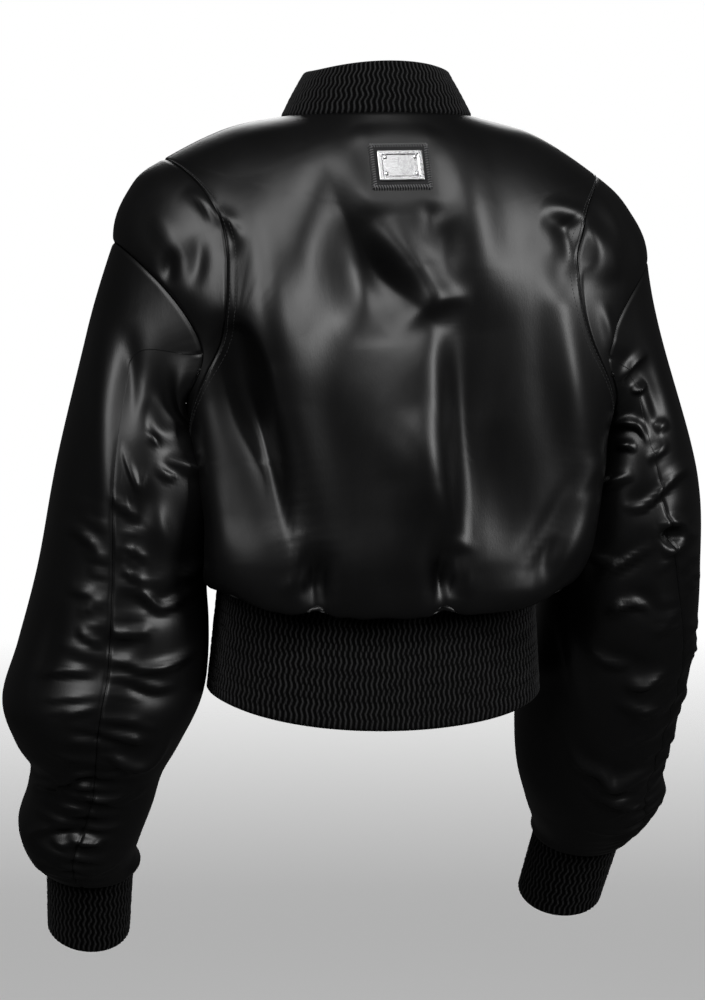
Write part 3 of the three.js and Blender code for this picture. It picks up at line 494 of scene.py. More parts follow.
def patch_frame():
    """Where the patch lies on the smooth back, and its axes across, up and out of the cloth.

    Newton's steps in turn and row bring the seen place of the point to the patch's place.
    """
    target = np.array([PLATE_SEEN["across"], PLATE_SEEN["up"]])
    step = 0.01
    turn, row = 0.0, 1.0
    for _ in range(8):
        here = seen(torso_base(turn, row))
        by_turn = (seen(torso_base(turn + step, row)) - here) / step
        by_row = (seen(torso_base(turn, row + step)) - here) / step
        change = np.linalg.solve(np.stack((by_turn, by_row), 1), target - here)
        turn += change[0]
        row += change[1]
    out = normal_of(torso_base, turn, row)
    across = unit(np.array([-out[1], out[0], 0]))
    up = np.cross(out, across)
    tilted = across * math.cos(PLATE_SEEN["tilt"]) + up * math.sin(PLATE_SEEN["tilt"])
    centre = torso_base(turn, row) - out * PATCH["sunk"]
    return centre, tilted, np.cross(out, tilted), out


FLAT = patch_frame()


def flattened(p):
    """Points moved onto the patch's plane, wholly under it and less and less up to a rim around it."""
    centre, across, up, out = FLAT
    offset = p - centre
    height = offset @ out
    outside = np.hypot(
        np.maximum(abs(offset @ across) - PATCH["width"] / 2, 0),
        np.maximum(abs(offset @ up) - PATCH["height"] / 2, 0))
    share = (1 - smoothstep(outside, 1, PATCH["flatten"])) * (abs(height) < PATCH["flatten"])
    return p - (height * share)[..., None] * out


def torso_height(turn, row, p):
    """Folds of the back and fronts, and gathers at the hem: a sine of the turn under a bell of the row.

    The folds shrink to nothing at the collar, the hem and the side turn.
    """
    is_back = np.cos(turn) > 0
    edge = np.minimum(abs(np.cos(turn)) * 3.5, 1)
    sewn = np.clip(np.minimum(row / 1.5, (BAND_SEAM_ROW - row) / 0.9), 0, 1)
    place = seen(p)
    back = fold_height(BIG_BACK_FOLDS, place)
    front = fold_height(FRONT_FOLDS, np.stack((abs(p[..., 0]), p[..., 2]), -1))
    big = np.where(is_back, back, front) * edge * sewn
    pixels = in_pixels(place)
    creases = fold_height(BACK_CREASES, pixels) * edge + fold_height(CAP_CREASES, pixels)
    fine = np.where(is_back, creases, 0) * np.clip((BAND_SEAM_ROW - row) / 0.5, 0, 1)
    spacing = HEM_GATHERS["pitch"] / 110
    wobble = 1.3 * np.sin(turn * 9.1 + 1) + 0.8 * np.sin(turn * 23.7 + 2)
    gather = HEM_GATHERS["height"] * np.sin(2 * math.pi * turn / spacing + wobble)
    uneven = 0.55 + 0.45 * np.sin(turn * 5.3 + 0.7)
    near_hem = np.exp(-((row - 9.7) / HEM_GATHERS["reach"]) ** 2 * 4) * uneven
    return big + fine + gather * near_hem * np.clip((BAND_SEAM_ROW - row) / 0.3, 0, 1)


def torso(turn, row):
    """The body with its folds: the smooth body moved out along its normal by the folds' height."""
    turn, row = np.broadcast_arrays(np.asarray(turn, float), np.asarray(row, float))
    p = torso_base(turn, row)
    return flattened(p + normal_of(torso_base, turn, row) * torso_height(turn, row, p)[..., None])


# %% [markdown]
# ## Seams
# The sleeve is sewn to a dropped cap, and the cap to the back and front. On the trunk each of these
# seams is a closed loop: it swings back and forward from the side as the row goes down, like an
# ellipse. The same functions place the cloth, its neighbours and the stitches, so they always meet.

# %% Seams
def side_turn(row):
    """The turn of the side in degrees, a little further back at the shoulder."""
    return 90 - SHOULDER_SEAM_BACK * (1 - smoothstep(row, 2, 4.5))


def swing_of(seam, row, front):
    """Degrees that a seam stands off the side: its reach times a power of the ellipse's sine."""
    middle = (seam["top"] + seam["bottom"]) / 2
    reach = (seam["bottom"] - seam["top"]) / 2
    sine = np.sqrt(np.maximum(0, 1 - ((row - middle) / reach) ** 2))
    share = sine ** np.where(row < middle, seam["square"], seam["taper"])
    return np.where(front, seam["front"], -seam["back"]) * share


def seam_place(seam, angle):
    """Turn and row on a cap seam or armhole.

    Angle 0 is the shoulder and a quarter turn the back of the arm. The row goes with the cosine.
    """
    row = (seam["top"] + seam["bottom"] - (seam["bottom"] - seam["top"]) * np.cos(angle)) / 2
    return (side_turn(row) + swing_of(seam, row, np.sin(angle) < 0)) * DEGREE, row


def panel_edge(row, front):
    """The turn at which the back or front ends at the cap seam or the side."""
    return (side_turn(row) + swing_of(CAP_SEAM, row, front)) * DEGREE


# %% [markdown]
# ## Sleeves
# A sleeve is a tube from the armhole to the cuff. Its rings are ellipses on a bent centre line, and a
# curve blends the first ring into the armhole, because a plain straight join would show a hard edge.
# The seam down the back of the arm is ruched: it is shorter than the cloth beside it, which crumples
# into short folds across it. They are drawn at random, with a fixed seed, so that every run is alike.

# %% Sleeves
def wrinkle_folds(seed, length):
    """Short creases across the ruched seam, in millimetres across from it and down from the armhole."""
    rng = np.random.default_rng(seed)
    folds = []
    for down in np.linspace(0.34 * length, 0.97 * length, SEAM_WRINKLES["count"]):
        depth = rng.uniform(*SEAM_WRINKLES["depth"])
        width = rng.uniform(*SEAM_WRINKLES["width"])
        long = rng.uniform(*SEAM_WRINKLES["length"])
        side = rng.choice((-1, 1))
        start = down + rng.uniform(-4, 4)
        slope = rng.uniform(-0.25, 0.45)
        middle = (side * long * 0.5, start + slope * long * 0.4)
        points = [(-3 * side, start), middle, (side * long, start + slope * long)]
        folds.append([depth, width, side * 2, points])
    return folds


ARMS = {
    "left": {
        "side": 1, "rows": SLEEVE_LEFT, "big": BIG_LEFT_FOLDS, "mirrored": BIG_RIGHT_FOLDS,
        "creases": LEFT_CREASES, "wrinkles": wrinkle_folds(11, 470), "cuff": CUFF_LEFT,
        "crease_share": 1.15,
    },
    "right": {
        "side": -1, "rows": SLEEVE_RIGHT, "big": BIG_RIGHT_FOLDS, "mirrored": BIG_LEFT_FOLDS,
        "creases": RIGHT_CREASES, "wrinkles": wrinkle_folds(23, 470), "cuff": CUFF_RIGHT,
        "crease_share": 1.6,
    },
}


def armhole_loop(arm):
    """The armhole's points for every angle, found once and read off between."""
    angles = np.linspace(-math.pi, math.pi, 721)
    turn, row = seam_place(ARMHOLE, angles)
    return angles, torso(arm["side"] * turn, row)


for each_arm in ARMS.values():
    each_arm["loop"] = armhole_loop(each_arm)


def armhole_point(arm, angle):
    """Points of the armhole at any angles, straight between the points of its loop."""
    angles, points = arm["loop"]
    wrapped = (angle + math.pi) % (2 * math.pi) - math.pi
    return np.stack([np.interp(wrapped, angles, points[:, k]) for k in range(3)], -1)


def sleeve_ring(arm, place, angle):
    """A ring of the arm: out with the cosine, back with the sine, leant forward as it goes back."""
    row = sample(arm["rows"], place)
    lean = row["lean"] * DEGREE
    out, back = np.cos(angle), np.sin(angle)
    return np.stack((
        row["x"] + row["outX"] * out,
        row["y"] + row["deep"] * np.cos(lean) * back,
        row["z"] + row["outZ"] * out - row["deep"] * np.sin(lean) * back,
    ), -1)


def sleeve_base(arm, angle, place):
    """The smooth sleeve. Place 0 is the armhole, and from place 1 on it follows its table.

    Between them runs a curve with one control point, half the gap back along the first ring's run.
    """
    angle, place = np.broadcast_arrays(np.asarray(angle, float), np.asarray(place, float))
    ring = sleeve_ring(arm, np.maximum(place - 1, 0), angle)
    before = armhole_point(arm, angle)
    first = sleeve_ring(arm, np.zeros_like(angle), angle)
    run = sleeve_ring(arm, np.ones_like(angle), angle) - first
    half_way = np.linalg.norm(before - first, axis=-1, keepdims=True) / 2
    bend = first - unit(run) * half_way
    blend = np.clip(place, 0, 1)[..., None]
    curve = before * (1 - blend) ** 2 + bend * 2 * blend * (1 - blend) + first * blend ** 2
    return np.where(place[..., None] >= 1, ring, curve)


def sleeve_down(arm, place):
    """Millimetres down the sleeve from the armhole at its centre line, for each place."""
    places = np.linspace(0, len(arm["rows"]["x"]), 200)
    row = sample(arm["rows"], np.maximum(places - 1, 0))
    line = np.stack((row["x"], row["y"], row["z"]), -1)
    steps = np.linalg.norm(np.diff(line, axis=0), axis=1)
    steps[places[1:] <= 1] = 70 * (places[1] - places[0])
    return np.interp(place, places, np.concatenate(([0], np.cumsum(steps))))


def seam_angle(arm, place):
    """The back seam starts a quarter turn from the shoulder and swings to the table's place in one ring."""
    seam = sample(arm["rows"], np.maximum(place - 1, 0))["seam"] * DEGREE
    return math.pi / 2 + (seam - math.pi / 2) * smoothstep(place, 0, 1)


def sleeve_height(arm, angle, place, p):
    """Big folds, seen creases, gathers along the seam and wrinkles across it, less at both ends."""
    last = len(arm["rows"]["x"])
    row = sample(arm["rows"], np.maximum(place - 1, 0))
    sewn = np.clip(np.minimum(place / 0.7, (last - 1 - place) / 1.5), 0, 1)
    facing = np.sin(angle)
    place_seen = seen(p)
    hidden = np.stack((-place_seen[..., 0] - 20 * arm["side"], p[..., 2] + 10), -1)
    in_view = np.clip(facing * 3, 0, 1)
    out_of_view = np.clip(-facing * 3, 0, 1)
    near_side = fold_height(arm["big"], place_seen) * in_view
    far_side = fold_height(arm["mirrored"], hidden) * out_of_view
    big = ARM_FOLD_SHARE * (near_side + far_side)
    share = place / last
    from_seam = (angle - seam_angle(arm, place)) * row["deep"]
    rise = smoothstep(share, GATHERS["start"], GATHERS["start"] + 0.1)
    wave = np.sin(2 * math.pi * GATHERS["count"] * (share - GATHERS["start"]) / (1 - GATHERS["start"]))
    gather = GATHERS["height"] * rise * wave * np.exp(-(from_seam / GATHERS["reach"]) ** 2)
    creases = arm["crease_share"] * fold_height(arm["creases"], in_pixels(place_seen)) * in_view
    around = np.stack((from_seam, sleeve_down(arm, place)), -1)
    wrinkles = fold_height(arm["wrinkles"], around)
    free = np.clip(np.minimum(place / 0.4, (last - place) / 0.8), 0, 1)
    return (big + gather) * sewn + (creases + wrinkles) * free


def sleeve(arm, angle, place):
    """The sleeve with its folds: the smooth sleeve moved out along its normal by their height."""
    angle, place = np.broadcast_arrays(np.asarray(angle, float), np.asarray(place, float))
    p = sleeve_base(arm, angle, place)
    out = normal_of(lambda a, s: sleeve_base(arm, a, s), angle, place) * -arm["side"]
    return p + out * sleeve_height(arm, angle, place, p)[..., None]


# %% [markdown]
# ## Materials
# No cloth has one flat colour or one even gloss. Three effects are needed again and again: a noise
# as a height, one between two roughnesses and one between two colours. Each is a node group, built
# once and placed in every material with its own scale and values. An image would do it too, but it
# needs a flat layout of each piece, and noise in object space fits any shape. What is the same all
# over a surface, such as its index of refraction or its sheen, stays on the shader's own socket.

# %% Material helpers
def new_material(name, **values):
    """A material with values on its shader's sockets, and its nodes, links and shader."""
    material = bpy.data.materials.new(name)
    material.use_nodes = True
    nodes = material.node_tree.nodes
    shader = nodes["Principled BSDF"]
    for socket, value in values.items():
        shader.inputs[socket.replace("_", " ")].default_value = value
    return material, nodes, material.node_tree.links, shader


def add_node(nodes, kind, **values):
    """A node with values on its sockets. An underscore stands for a space in a socket's name."""
    node = nodes.new(kind)
    for socket, value in values.items():
        node.inputs[socket.replace("_", " ")].default_value = value
    return node


def noise_group(name, extra, output):
    """A group of stretched noise in object space: its own inputs, the extra ones and one output."""
    group = bpy.data.node_groups.new(name, "ShaderNodeTree")
    for socket, kind in [("Scale", "Float"), ("Detail", "Float"), ("Stretch", "Vector"), *extra]:
        group.interface.new_socket(socket, in_out="INPUT", socket_type=f"NodeSocket{kind}")
    group.interface.new_socket(output[0], in_out="OUTPUT", socket_type=f"NodeSocket{output[1]}")
    nodes, links = group.nodes, group.links
    given = nodes.new("NodeGroupInput")
    place = nodes.new("ShaderNodeTexCoord")
    mapping = nodes.new("ShaderNodeMapping")
    texture = nodes.new("ShaderNodeTexNoise")
    links.new(place.outputs["Object"], mapping.inputs["Vector"])
    links.new(given.outputs["Stretch"], mapping.inputs["Scale"])
    links.new(mapping.outputs["Vector"], texture.inputs["Vector"])
    links.new(given.outputs["Scale"], texture.inputs["Scale"])
    links.new(given.outputs["Detail"], texture.inputs["Detail"])
    return group, given, texture.outputs["Fac"], nodes.new("NodeGroupOutput")


def grain_group():
    """The noise itself, as a height for a Bump node."""
    group, _, height, result = noise_group("grain", [], ("Height", "Float"))
    group.links.new(height, result.inputs["Height"])
    return group


def gloss_group():
    """The noise between two roughnesses."""
    extra = [("Smoothest", "Float"), ("Roughest", "Float")]
    group, given, height, result = noise_group("gloss", extra, ("Roughness", "Float"))
    spread = add_node(group.nodes, "ShaderNodeMapRange", From_Min=0.3, From_Max=0.7)
    group.links.new(height, spread.inputs["Value"])
    group.links.new(given.outputs["Smoothest"], spread.inputs["To Min"])
    group.links.new(given.outputs["Roughest"], spread.inputs["To Max"])
    group.links.new(spread.outputs["Result"], result.inputs["Roughness"])
    return group


def tone_group():
    """The noise between two colours."""
    extra = [("Dark", "Color"), ("Light", "Color")]
    group, given, height, result = noise_group("tone", extra, ("Color", "Color"))
    spread = add_node(group.nodes, "ShaderNodeMapRange", From_Min=0.3, From_Max=0.7)
    mix = group.nodes.new("ShaderNodeMix")
    mix.data_type = "RGBA"
    group.links.new(height, spread.inputs["Value"])
    group.links.new(spread.outputs["Result"], mix.inputs["Factor"])
    group.links.new(given.outputs["Dark"], mix.inputs["A"])
    group.links.new(given.outputs["Light"], mix.inputs["B"])
    group.links.new(mix.outputs["Result"], result.inputs["Color"])
    return group


GRAIN = grain_group()
GLOSS = gloss_group()
TONE = tone_group()


def place_group(nodes, group, scale, stretch, detail, **values):
    """A group placed in a material with its own values, and its one output."""
    node = nodes.new("ShaderNodeGroup")
    node.node_tree = group
    for socket, value in {"Scale": scale, "Detail": detail, "Stretch": stretch, **values}.items():
        node.inputs[socket].default_value = value
    return node.outputs[0]


def grain(nodes, scale, stretch=(1, 1, 1), detail=3.0):
    return place_group(nodes, GRAIN, scale, stretch, detail)


def gloss(nodes, scale, smoothest, roughest, stretch=(1, 1, 1), detail=3.0):
    return place_group(nodes, GLOSS, scale, stretch, detail, Smoothest=smoothest, Roughest=roughest)


def tone(nodes, scale, dark, light, stretch=(1, 1, 1), detail=3.0):
    return place_group(nodes, TONE, scale, stretch, detail, Dark=(*dark, 1), Light=(*light, 1))


def bump(nodes, links, height, strength, distance, below=None):
    """A Bump node on a height, over the normal of the bump below it."""
    node = add_node(nodes, "ShaderNodeBump", Strength=strength, Distance=distance)
    links.new(height, node.inputs["Height"])
    if below is not None:
        links.new(below, node.inputs["Normal"])
    return node.outputs["Normal"]


# %% [markdown]
# ## Satin
# Satin is black here and almost a mirror along its folds: long threads float on its face. Nearly all
# that shows is the gloss, so the base is close to black and the roughness is in the middle, where a
# lamp makes a broad soft streak. A slow unevenness and a fine weave break the streaks up.

# %% Satin
def satin_material():
    """Near black, uneven gloss, a soft bump below a fine weave."""
    material, nodes, links, shader = new_material("satin", IOR=1.55, Metallic=0.0)
    links.new(tone(nodes, 9, (0.0022, 0.0022, 0.0024), (0.0034, 0.0034, 0.0036), detail=2),
              shader.inputs["Base Color"])
    links.new(gloss(nodes, 26, 0.34, 0.4, stretch=(1, 1, 0.35)), shader.inputs["Roughness"])
    soft = bump(nodes, links, grain(nodes, 34, stretch=(1, 1, 0.5), detail=2), 0.1, 0.004)
    weave = bump(nodes, links, grain(nodes, 900, stretch=(1, 1, 0.25), detail=1), 0.12, 0.0003, soft)
    links.new(weave, shader.inputs["Normal"])
    return material


# %% [markdown]
# ## Rib knit
# The ribs are real shapes in the mesh, and each point keeps its height on the rib as an attribute.
# The material reads it: the ridge is the dark grey of the yarn, and the groove between two ribs is painted
# black as shade, which a bump alone would not give. Small cells make the loops of the yarn.

# %% Knit
def knit_material():
    """Colour by the height on the rib: painted black shade in the grooves and the yarn's dark grey on the
    ridges, loops from cells and fuzz from a fine grain.
    """
    material, nodes, links, shader = new_material(
        "rib_knit", Roughness=0.9, Sheen_Weight=0.03, Sheen_Roughness=0.5, IOR=1.2)
    height = nodes.new("ShaderNodeAttribute")
    height.attribute_name = "rib_height"
    # Painted shade: the ramp paints the groove between ribs black, and the ridge keeps the yarn's dark
    # grey.
    groove_shade_and_yarn = nodes.new("ShaderNodeValToRGB")
    groove_shade_and_yarn.color_ramp.elements[0].position = 0.3
    groove_shade_and_yarn.color_ramp.elements[0].color = (0.0002, 0.0002, 0.0003, 1)
    groove_shade_and_yarn.color_ramp.elements[1].position = 0.98
    groove_shade_and_yarn.color_ramp.elements[1].color = (0.042, 0.042, 0.043, 1)
    links.new(height.outputs["Fac"], groove_shade_and_yarn.inputs["Fac"])
    links.new(groove_shade_and_yarn.outputs["Color"], shader.inputs["Base Color"])
    stitches = add_node(nodes, "ShaderNodeTexVoronoi", Scale=1150.0)
    place = nodes.new("ShaderNodeTexCoord")
    links.new(place.outputs["Object"], stitches.inputs["Vector"])
    loops = bump(nodes, links, stitches.outputs["Distance"], 0.6, 0.0008)
    links.new(bump(nodes, links, grain(nodes, 1800), 0.3, 0.0004, loops), shader.inputs["Normal"])
    return material


# %% [markdown]
# ## Leather, metal, tape and thread
# The patch is pebbled leather, from cells as a bump. The plate and the zip are polished metal whose
# roughness wanders a little, because perfect metal looks like paint. The tape is a woven strip, from
# a wave as a bump, and the thread on the patch is lighter than the thread on the satin.

# %% Leather, metal and tape
def leather_material():
    """Dark mottled leather with pebbles from cells."""
    material, nodes, links, shader = new_material("patch_leather", Roughness=0.6, IOR=1.4)
    links.new(tone(nodes, 90, (0.006, 0.006, 0.007), (0.014, 0.014, 0.015)), shader.inputs["Base Color"])
    pebbles = add_node(nodes, "ShaderNodeTexVoronoi", Scale=900.0)
    place = nodes.new("ShaderNodeTexCoord")
    links.new(place.outputs["Object"], pebbles.inputs["Vector"])
    links.new(bump(nodes, links, pebbles.outputs["Distance"], 0.5, 0.0006), shader.inputs["Normal"])
    return material


def metal_material(name, color, rough):
    """Polished metal with uneven gloss, stretched as by brushing."""
    material, nodes, links, shader = new_material(name, Metallic=1.0)
    links.new(tone(nodes, 60, [0.93 * c for c in color], color), shader.inputs["Base Color"])
    links.new(gloss(nodes, 400, rough, rough + 0.12, stretch=(1, 1, 6)), shader.inputs["Roughness"])
    links.new(bump(nodes, links, grain(nodes, 160), 0.08, 0.0004), shader.inputs["Normal"])
    return material


def tape_material():
    """Dull black weave with bands across the tape."""
    material, nodes, links, shader = new_material("zip_tape", Roughness=0.85, Sheen_Weight=0.2)
    links.new(tone(nodes, 500, (0.006, 0.006, 0.007), (0.016, 0.016, 0.018), stretch=(1, 1, 3)),
              shader.inputs["Base Color"])
    weave = add_node(nodes, "ShaderNodeTexWave", Scale=420.0)
    weave.bands_direction = "Z"
    place = nodes.new("ShaderNodeTexCoord")
    links.new(place.outputs["Object"], weave.inputs["Vector"])
    links.new(bump(nodes, links, weave.outputs["Fac"], 0.5, 0.0005), shader.inputs["Normal"])
    return material


def thread_material(name, dark, light):
    """Matt thread with a fine twist."""
    material, nodes, links, shader = new_material(name, Roughness=0.6, Sheen_Weight=0.3)
    links.new(tone(nodes, 700, dark, light), shader.inputs["Base Color"])
    links.new(bump(nodes, links, grain(nodes, 1500), 0.4, 0.0003), shader.inputs["Normal"])
    return material


SATIN = satin_material()
KNIT = knit_material()
LEATHER = leather_material()
SILVER = metal_material("plate_silver", (0.86, 0.86, 0.87), 0.16)
ZIP_METAL = metal_material("zip_metal", (0.62, 0.62, 0.64), 0.25)
TAPE = tape_material()
THREAD = thread_material("thread", (0.012, 0.012, 0.013), (0.028, 0.028, 0.03))
PATCH_THREAD = thread_material("patch_thread", (0.12, 0.12, 0.122), (0.22, 0.22, 0.225))
print("materials", [material.name for material in bpy.data.materials])

# %% [markdown]
# ## Cloth walls
# Real cloth has two faces and an edge. A grid of outer points is closed by an inner grid one
# wall below it, and rims join the two. Solidify could do that, but then the inner wall would have
# as many rows as the outer one. Near a sewn edge the cloth dips into the seam.

# %% Meshes
def make_object(name, vertices, faces, material, smooth=True, body="jacket"):
    """A piece from points in millimetres and a list of faces, riding on a body."""
    mesh = bpy.data.meshes.new(name)
    mesh.from_pydata((np.asarray(vertices) * MM).tolist(), [], faces)
    mesh.polygons.foreach_set("use_smooth", [smooth] * len(mesh.polygons))
    mesh.materials.append(material)
    mesh.update()
    piece = bpy.data.objects.new(name, mesh)
    bpy.context.scene.collection.objects.link(piece)
    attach(piece, body)
    print(name, len(faces), "faces")
    return piece


def grid_normals(grid):
    """Normals of a grid of points: the cross product of its steps across and down."""
    return unit(np.cross(np.gradient(grid, axis=1), np.gradient(grid, axis=0)))


def grid_faces(at):
    """Four-sided faces between neighbours in a grid of vertex numbers."""
    return np.stack((at[:-1, :-1], at[1:, :-1], at[1:, 1:], at[:-1, 1:]), -1).reshape(-1, 4)


def shell_faces(over, under):
    """Faces of two walls of vertex numbers that share their columns, and the rims between them."""
    faces = np.concatenate((grid_faces(over), grid_faces(under)[:, ::-1])).tolist()
    for top, bottom in ((over[0], under[0]), (over[-1, ::-1], under[-1, ::-1])):
        faces += np.stack((top[:-1], top[1:], bottom[1:], bottom[:-1]), -1).tolist()
    for side, inner in ((over[::-1, 0], under[:, 0]), (over[:, -1], under[::-1, -1])):
        faces.append(side.tolist() + inner.tolist())
    return faces


def shell(name, outer, sign, thickness, material, inner_rows=None, under=None, height=None):
    """A closed wall under a grid of outer points.

    The inner wall is each point less its normal times the thickness. It may have fewer rows than
    the outer one. Height becomes the attribute that the knit's colour reads for its painted groove shade.
    """
    rows, columns = outer.shape[:2]
    kept = np.linspace(0, rows - 1, inner_rows or rows).round().astype(int)
    base = outer if under is None else under
    inner = (base - grid_normals(base) * sign * thickness)[kept]
    over_numbers = np.arange(rows * columns).reshape(rows, columns)
    under_numbers = rows * columns + np.arange(len(kept) * columns).reshape(len(kept), columns)
    faces = shell_faces(over_numbers, under_numbers)
    if sign > 0:
        faces = [face[::-1] for face in faces]
    piece = make_object(name, np.concatenate((outer.reshape(-1, 3), inner.reshape(-1, 3))), faces, material)
    if height is not None:
        values = piece.data.attributes.new("rib_height", "FLOAT", "POINT")
        values.data.foreach_set("value", np.concatenate((height.ravel(), np.zeros(inner.size // 3))))
    return piece


def sewn_dip(grid, sides, ends):
    """How far the cloth dips at its sewn edges: sides are its first and last column, ends its rows.

    The dip is the seam's depth times a bell of the distance to the edge, measured along the grid.
    """
    dip = np.zeros(grid.shape[:2])
    for axis, sewn in ((1, sides), (0, ends)):
        steps = np.linalg.norm(np.diff(grid, axis=axis), axis=-1)
        start = np.zeros_like(np.take(dip, [0], axis=axis))
        along = np.concatenate((start, np.cumsum(steps, axis=axis)), axis=axis)
        back = np.take(along, [-1], axis=axis) - along
        for distance, is_sewn in zip((along, back), sewn):
            if is_sewn:
                dip += np.exp(-(distance / SEAM_DIP["width"]) ** 2)
    return SEAM_DIP["depth"] * np.minimum(dip, 1.3)


def closer_at_edges(count, pull=0.75):
    """Steps from 0 to 1 that are closer at both ends: t less a share of the sine of a whole turn."""
    t = np.linspace(0, 1, count)
    return t - pull * np.sin(2 * math.pi * t) / (2 * math.pi)


def cloth(name, grid, sign, sides, ends, drawn=1.0):
    """A satin piece with its seams drawn in, less where drawn is below 1."""
    out = grid_normals(grid) * sign
    sewn = grid - out * (sewn_dip(grid, sides, ends) * drawn)[..., None]
    return shell(name, sewn, sign, SATIN_WALL, SATIN)


def outward_sign(grid, centre):
    """1 or -1, whichever turns the grid's normals away from the centre."""
    return 1 if (grid_normals(grid) * (grid - centre)).sum() > 0 else -1


def declare(node):
    """Hide the solid that a cloth piece stands for."""
    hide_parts(node)


# %% [markdown]
# ## Back and fronts
# The back is one wide piece from cap to cap, and the fronts run from the side to the zip. All three are
# gathered into the collar and the hem band, so they are cut wider than they hang. The rows are closer
# at the collar and the hem, where the dip of the seam is small and has to be caught.

# %% Body panels
def front_spread(section):
    """Millimetres across that one radian of turn makes at the centre front."""
    wide = (section["backX"] + section["frontX"]) / math.sqrt(2)
    return 2 * wide - section["half"] - section["backX"] + section["frontX"]


def body_piece(name, node, columns, edges):
    """A panel of the trunk: the torso between two edges, which are turns at each row."""
    rows = np.concatenate((
        np.linspace(0, 0.12, 5)[:-1],
        np.linspace(0.12, 9.6, 196),
        np.linspace(9.6, BAND_SEAM_ROW, 14)[1:],
    ))[:, None]
    start, end = edges(rows)
    turn = start + (end - start) * closer_at_edges(columns)
    grid = torso(turn, rows + 0 * turn)
    sign = outward_sign(grid, np.array([0, 0, -250]))
    piece = cloth(name, grid, sign, (True, True), (True, False))
    declare(node)
    return piece


def back_edges(row):
    """The cap seams, right and left, less half a seam's gap."""
    edge = panel_edge(row, False) - SEAM_HALF_TURN
    return -edge, edge


def front_edges(side):
    """The edges of one front: its side or cap seam, and the zip."""
    def edges(row):
        near = panel_edge(row, True) + SEAM_HALF_TURN
        far = math.pi - ZIP["halfGap"] / front_spread(sample(TORSO, row))
        return side * near, side * far
    return edges


body_piece("back_cloth", "back_panel", 215, back_edges)
for side_name, side in (("left", 1), ("right", -1)):
    front_node = f"front_panel_{side_name}"
    body_piece(f"front_cloth_{side_name}", front_node, 60, front_edges(side))


# %% [markdown]
# ## Shoulder caps
# The cap is the ring of cloth between its own seam and the armhole. Its grid goes round the arm one way
# and from seam to seam the other, so that both its edges follow their seams exactly.

# %% Shoulder caps
def cap_piece(name, node, arm):
    """A cap: turn and row go in a straight line from the cap seam to the armhole at every angle."""
    angle = np.linspace(-math.pi + 0.002, math.pi - 0.002, 230)[None, :]
    share = (0.004 + 0.992 * closer_at_edges(26))[:, None]
    inner_turn, inner_row = seam_place(CAP_SEAM, angle)
    outer_turn, outer_row = seam_place(ARMHOLE, angle)
    turn = inner_turn + (outer_turn - inner_turn) * share
    grid = torso(arm["side"] * turn, inner_row + (outer_row - inner_row) * share)
    sign = outward_sign(grid, np.array([120 * arm["side"], 0, -200]))
    piece = cloth(name, grid, sign, (True, True), (True, True))
    declare(node)
    return piece


for side_name, each_arm in ARMS.items():
    cap_piece(f"cap_cloth_{side_name}", f"shoulder_cap_{side_name}", each_arm)


# %% [markdown]
# ## Sleeve halves
# The outer half goes round the front and side of the arm, the under half round its back and the side
# that faces the body. They meet in the ruched seam. Near the armhole the seam is pressed flat and hardly
# shows, so there the halves touch without a dip, and their rims are shaded flat to hide the join.

# %% Sleeve halves
def sleeve_piece(name, node, arm, start, end):
    """Half a sleeve: the tube between two angles from the ruched seam, with more rows at the armhole."""
    last = len(arm["rows"]["x"])
    t = np.concatenate((np.linspace(0, 0.01, 5)[:-1], np.linspace(0.01, 1, 205)))
    place = (last * (0.55 * t ** 1.5 + 0.45 * t))[:, None]
    row = sample(arm["rows"], np.maximum(place - 1, 0))
    gap = SEAM_HALF_GAP / row["deep"] * smoothstep(place, 1.6, 2.4)
    angle = seam_angle(arm, place) + start + gap + (end - start - 2 * gap) * closer_at_edges(100)
    grid = sleeve(arm, angle, place + 0 * angle)
    centre = np.stack((row["x"], row["y"], row["z"]), -1)
    sign = outward_sign(grid, centre)
    along_arm = smoothstep(place, 1.4, 2.6)
    at_armhole = np.exp(-(place / 0.06) ** 2)
    piece = cloth(name, grid, sign, (True, True), (True, False), np.maximum(along_arm, at_armhole))
    walls = 2 * (grid.shape[0] - 1) * (grid.shape[1] - 1)
    piece.data.polygons.foreach_set("use_smooth", np.arange(len(piece.data.polygons)) < walls)
    declare(node)
    return piece


for side_name, each_arm in ARMS.items():
    sleeve_piece(f"outer_cloth_{side_name}", f"sleeve_outer_{side_name}", each_arm, -math.pi, 0)
    sleeve_piece(f"under_cloth_{side_name}", f"sleeve_under_{side_name}", each_arm, 0, math.pi)


# %% [markdown]
# ## Knit trims
# The collar, hem band and cuffs are rib knit, stretched a little, so their ribs stand apart and wave.
# A bump map would leave the outline smooth, so each rib is in the mesh: the height is a raised
# cosine round the trim, and its phase sways down the length.

# %% Knit trims
def rib_pattern(turns, downs, length, ribs):
    """Height of the ribs, 0 to 1: the square of a raised cosine, so ridges are thinner than grooves.

    The phase is the turn times the number of ribs, plus a sine down the length that is calm near
    both ends and drifts slowly round the trim.
    """
    calm = np.clip(np.minimum(downs, length - downs) / RIB_WAVE["straight"], 0, 1)
    drift = 1.1 * np.sin(turns * 17) + 0.6 * np.sin(turns * 41 + 2)
    wave = np.sin(2 * math.pi * downs / RIB_WAVE["period"] + drift)
    uneven = 1 + 0.25 * np.sin(turns * 139) * np.sin(downs / 9)
    phase = turns * ribs + calm * wave * uneven * RIB_WAVE["swing"] / RIB_PITCH
    return (0.5 + 0.5 * np.cos(2 * math.pi * phase)) ** 2


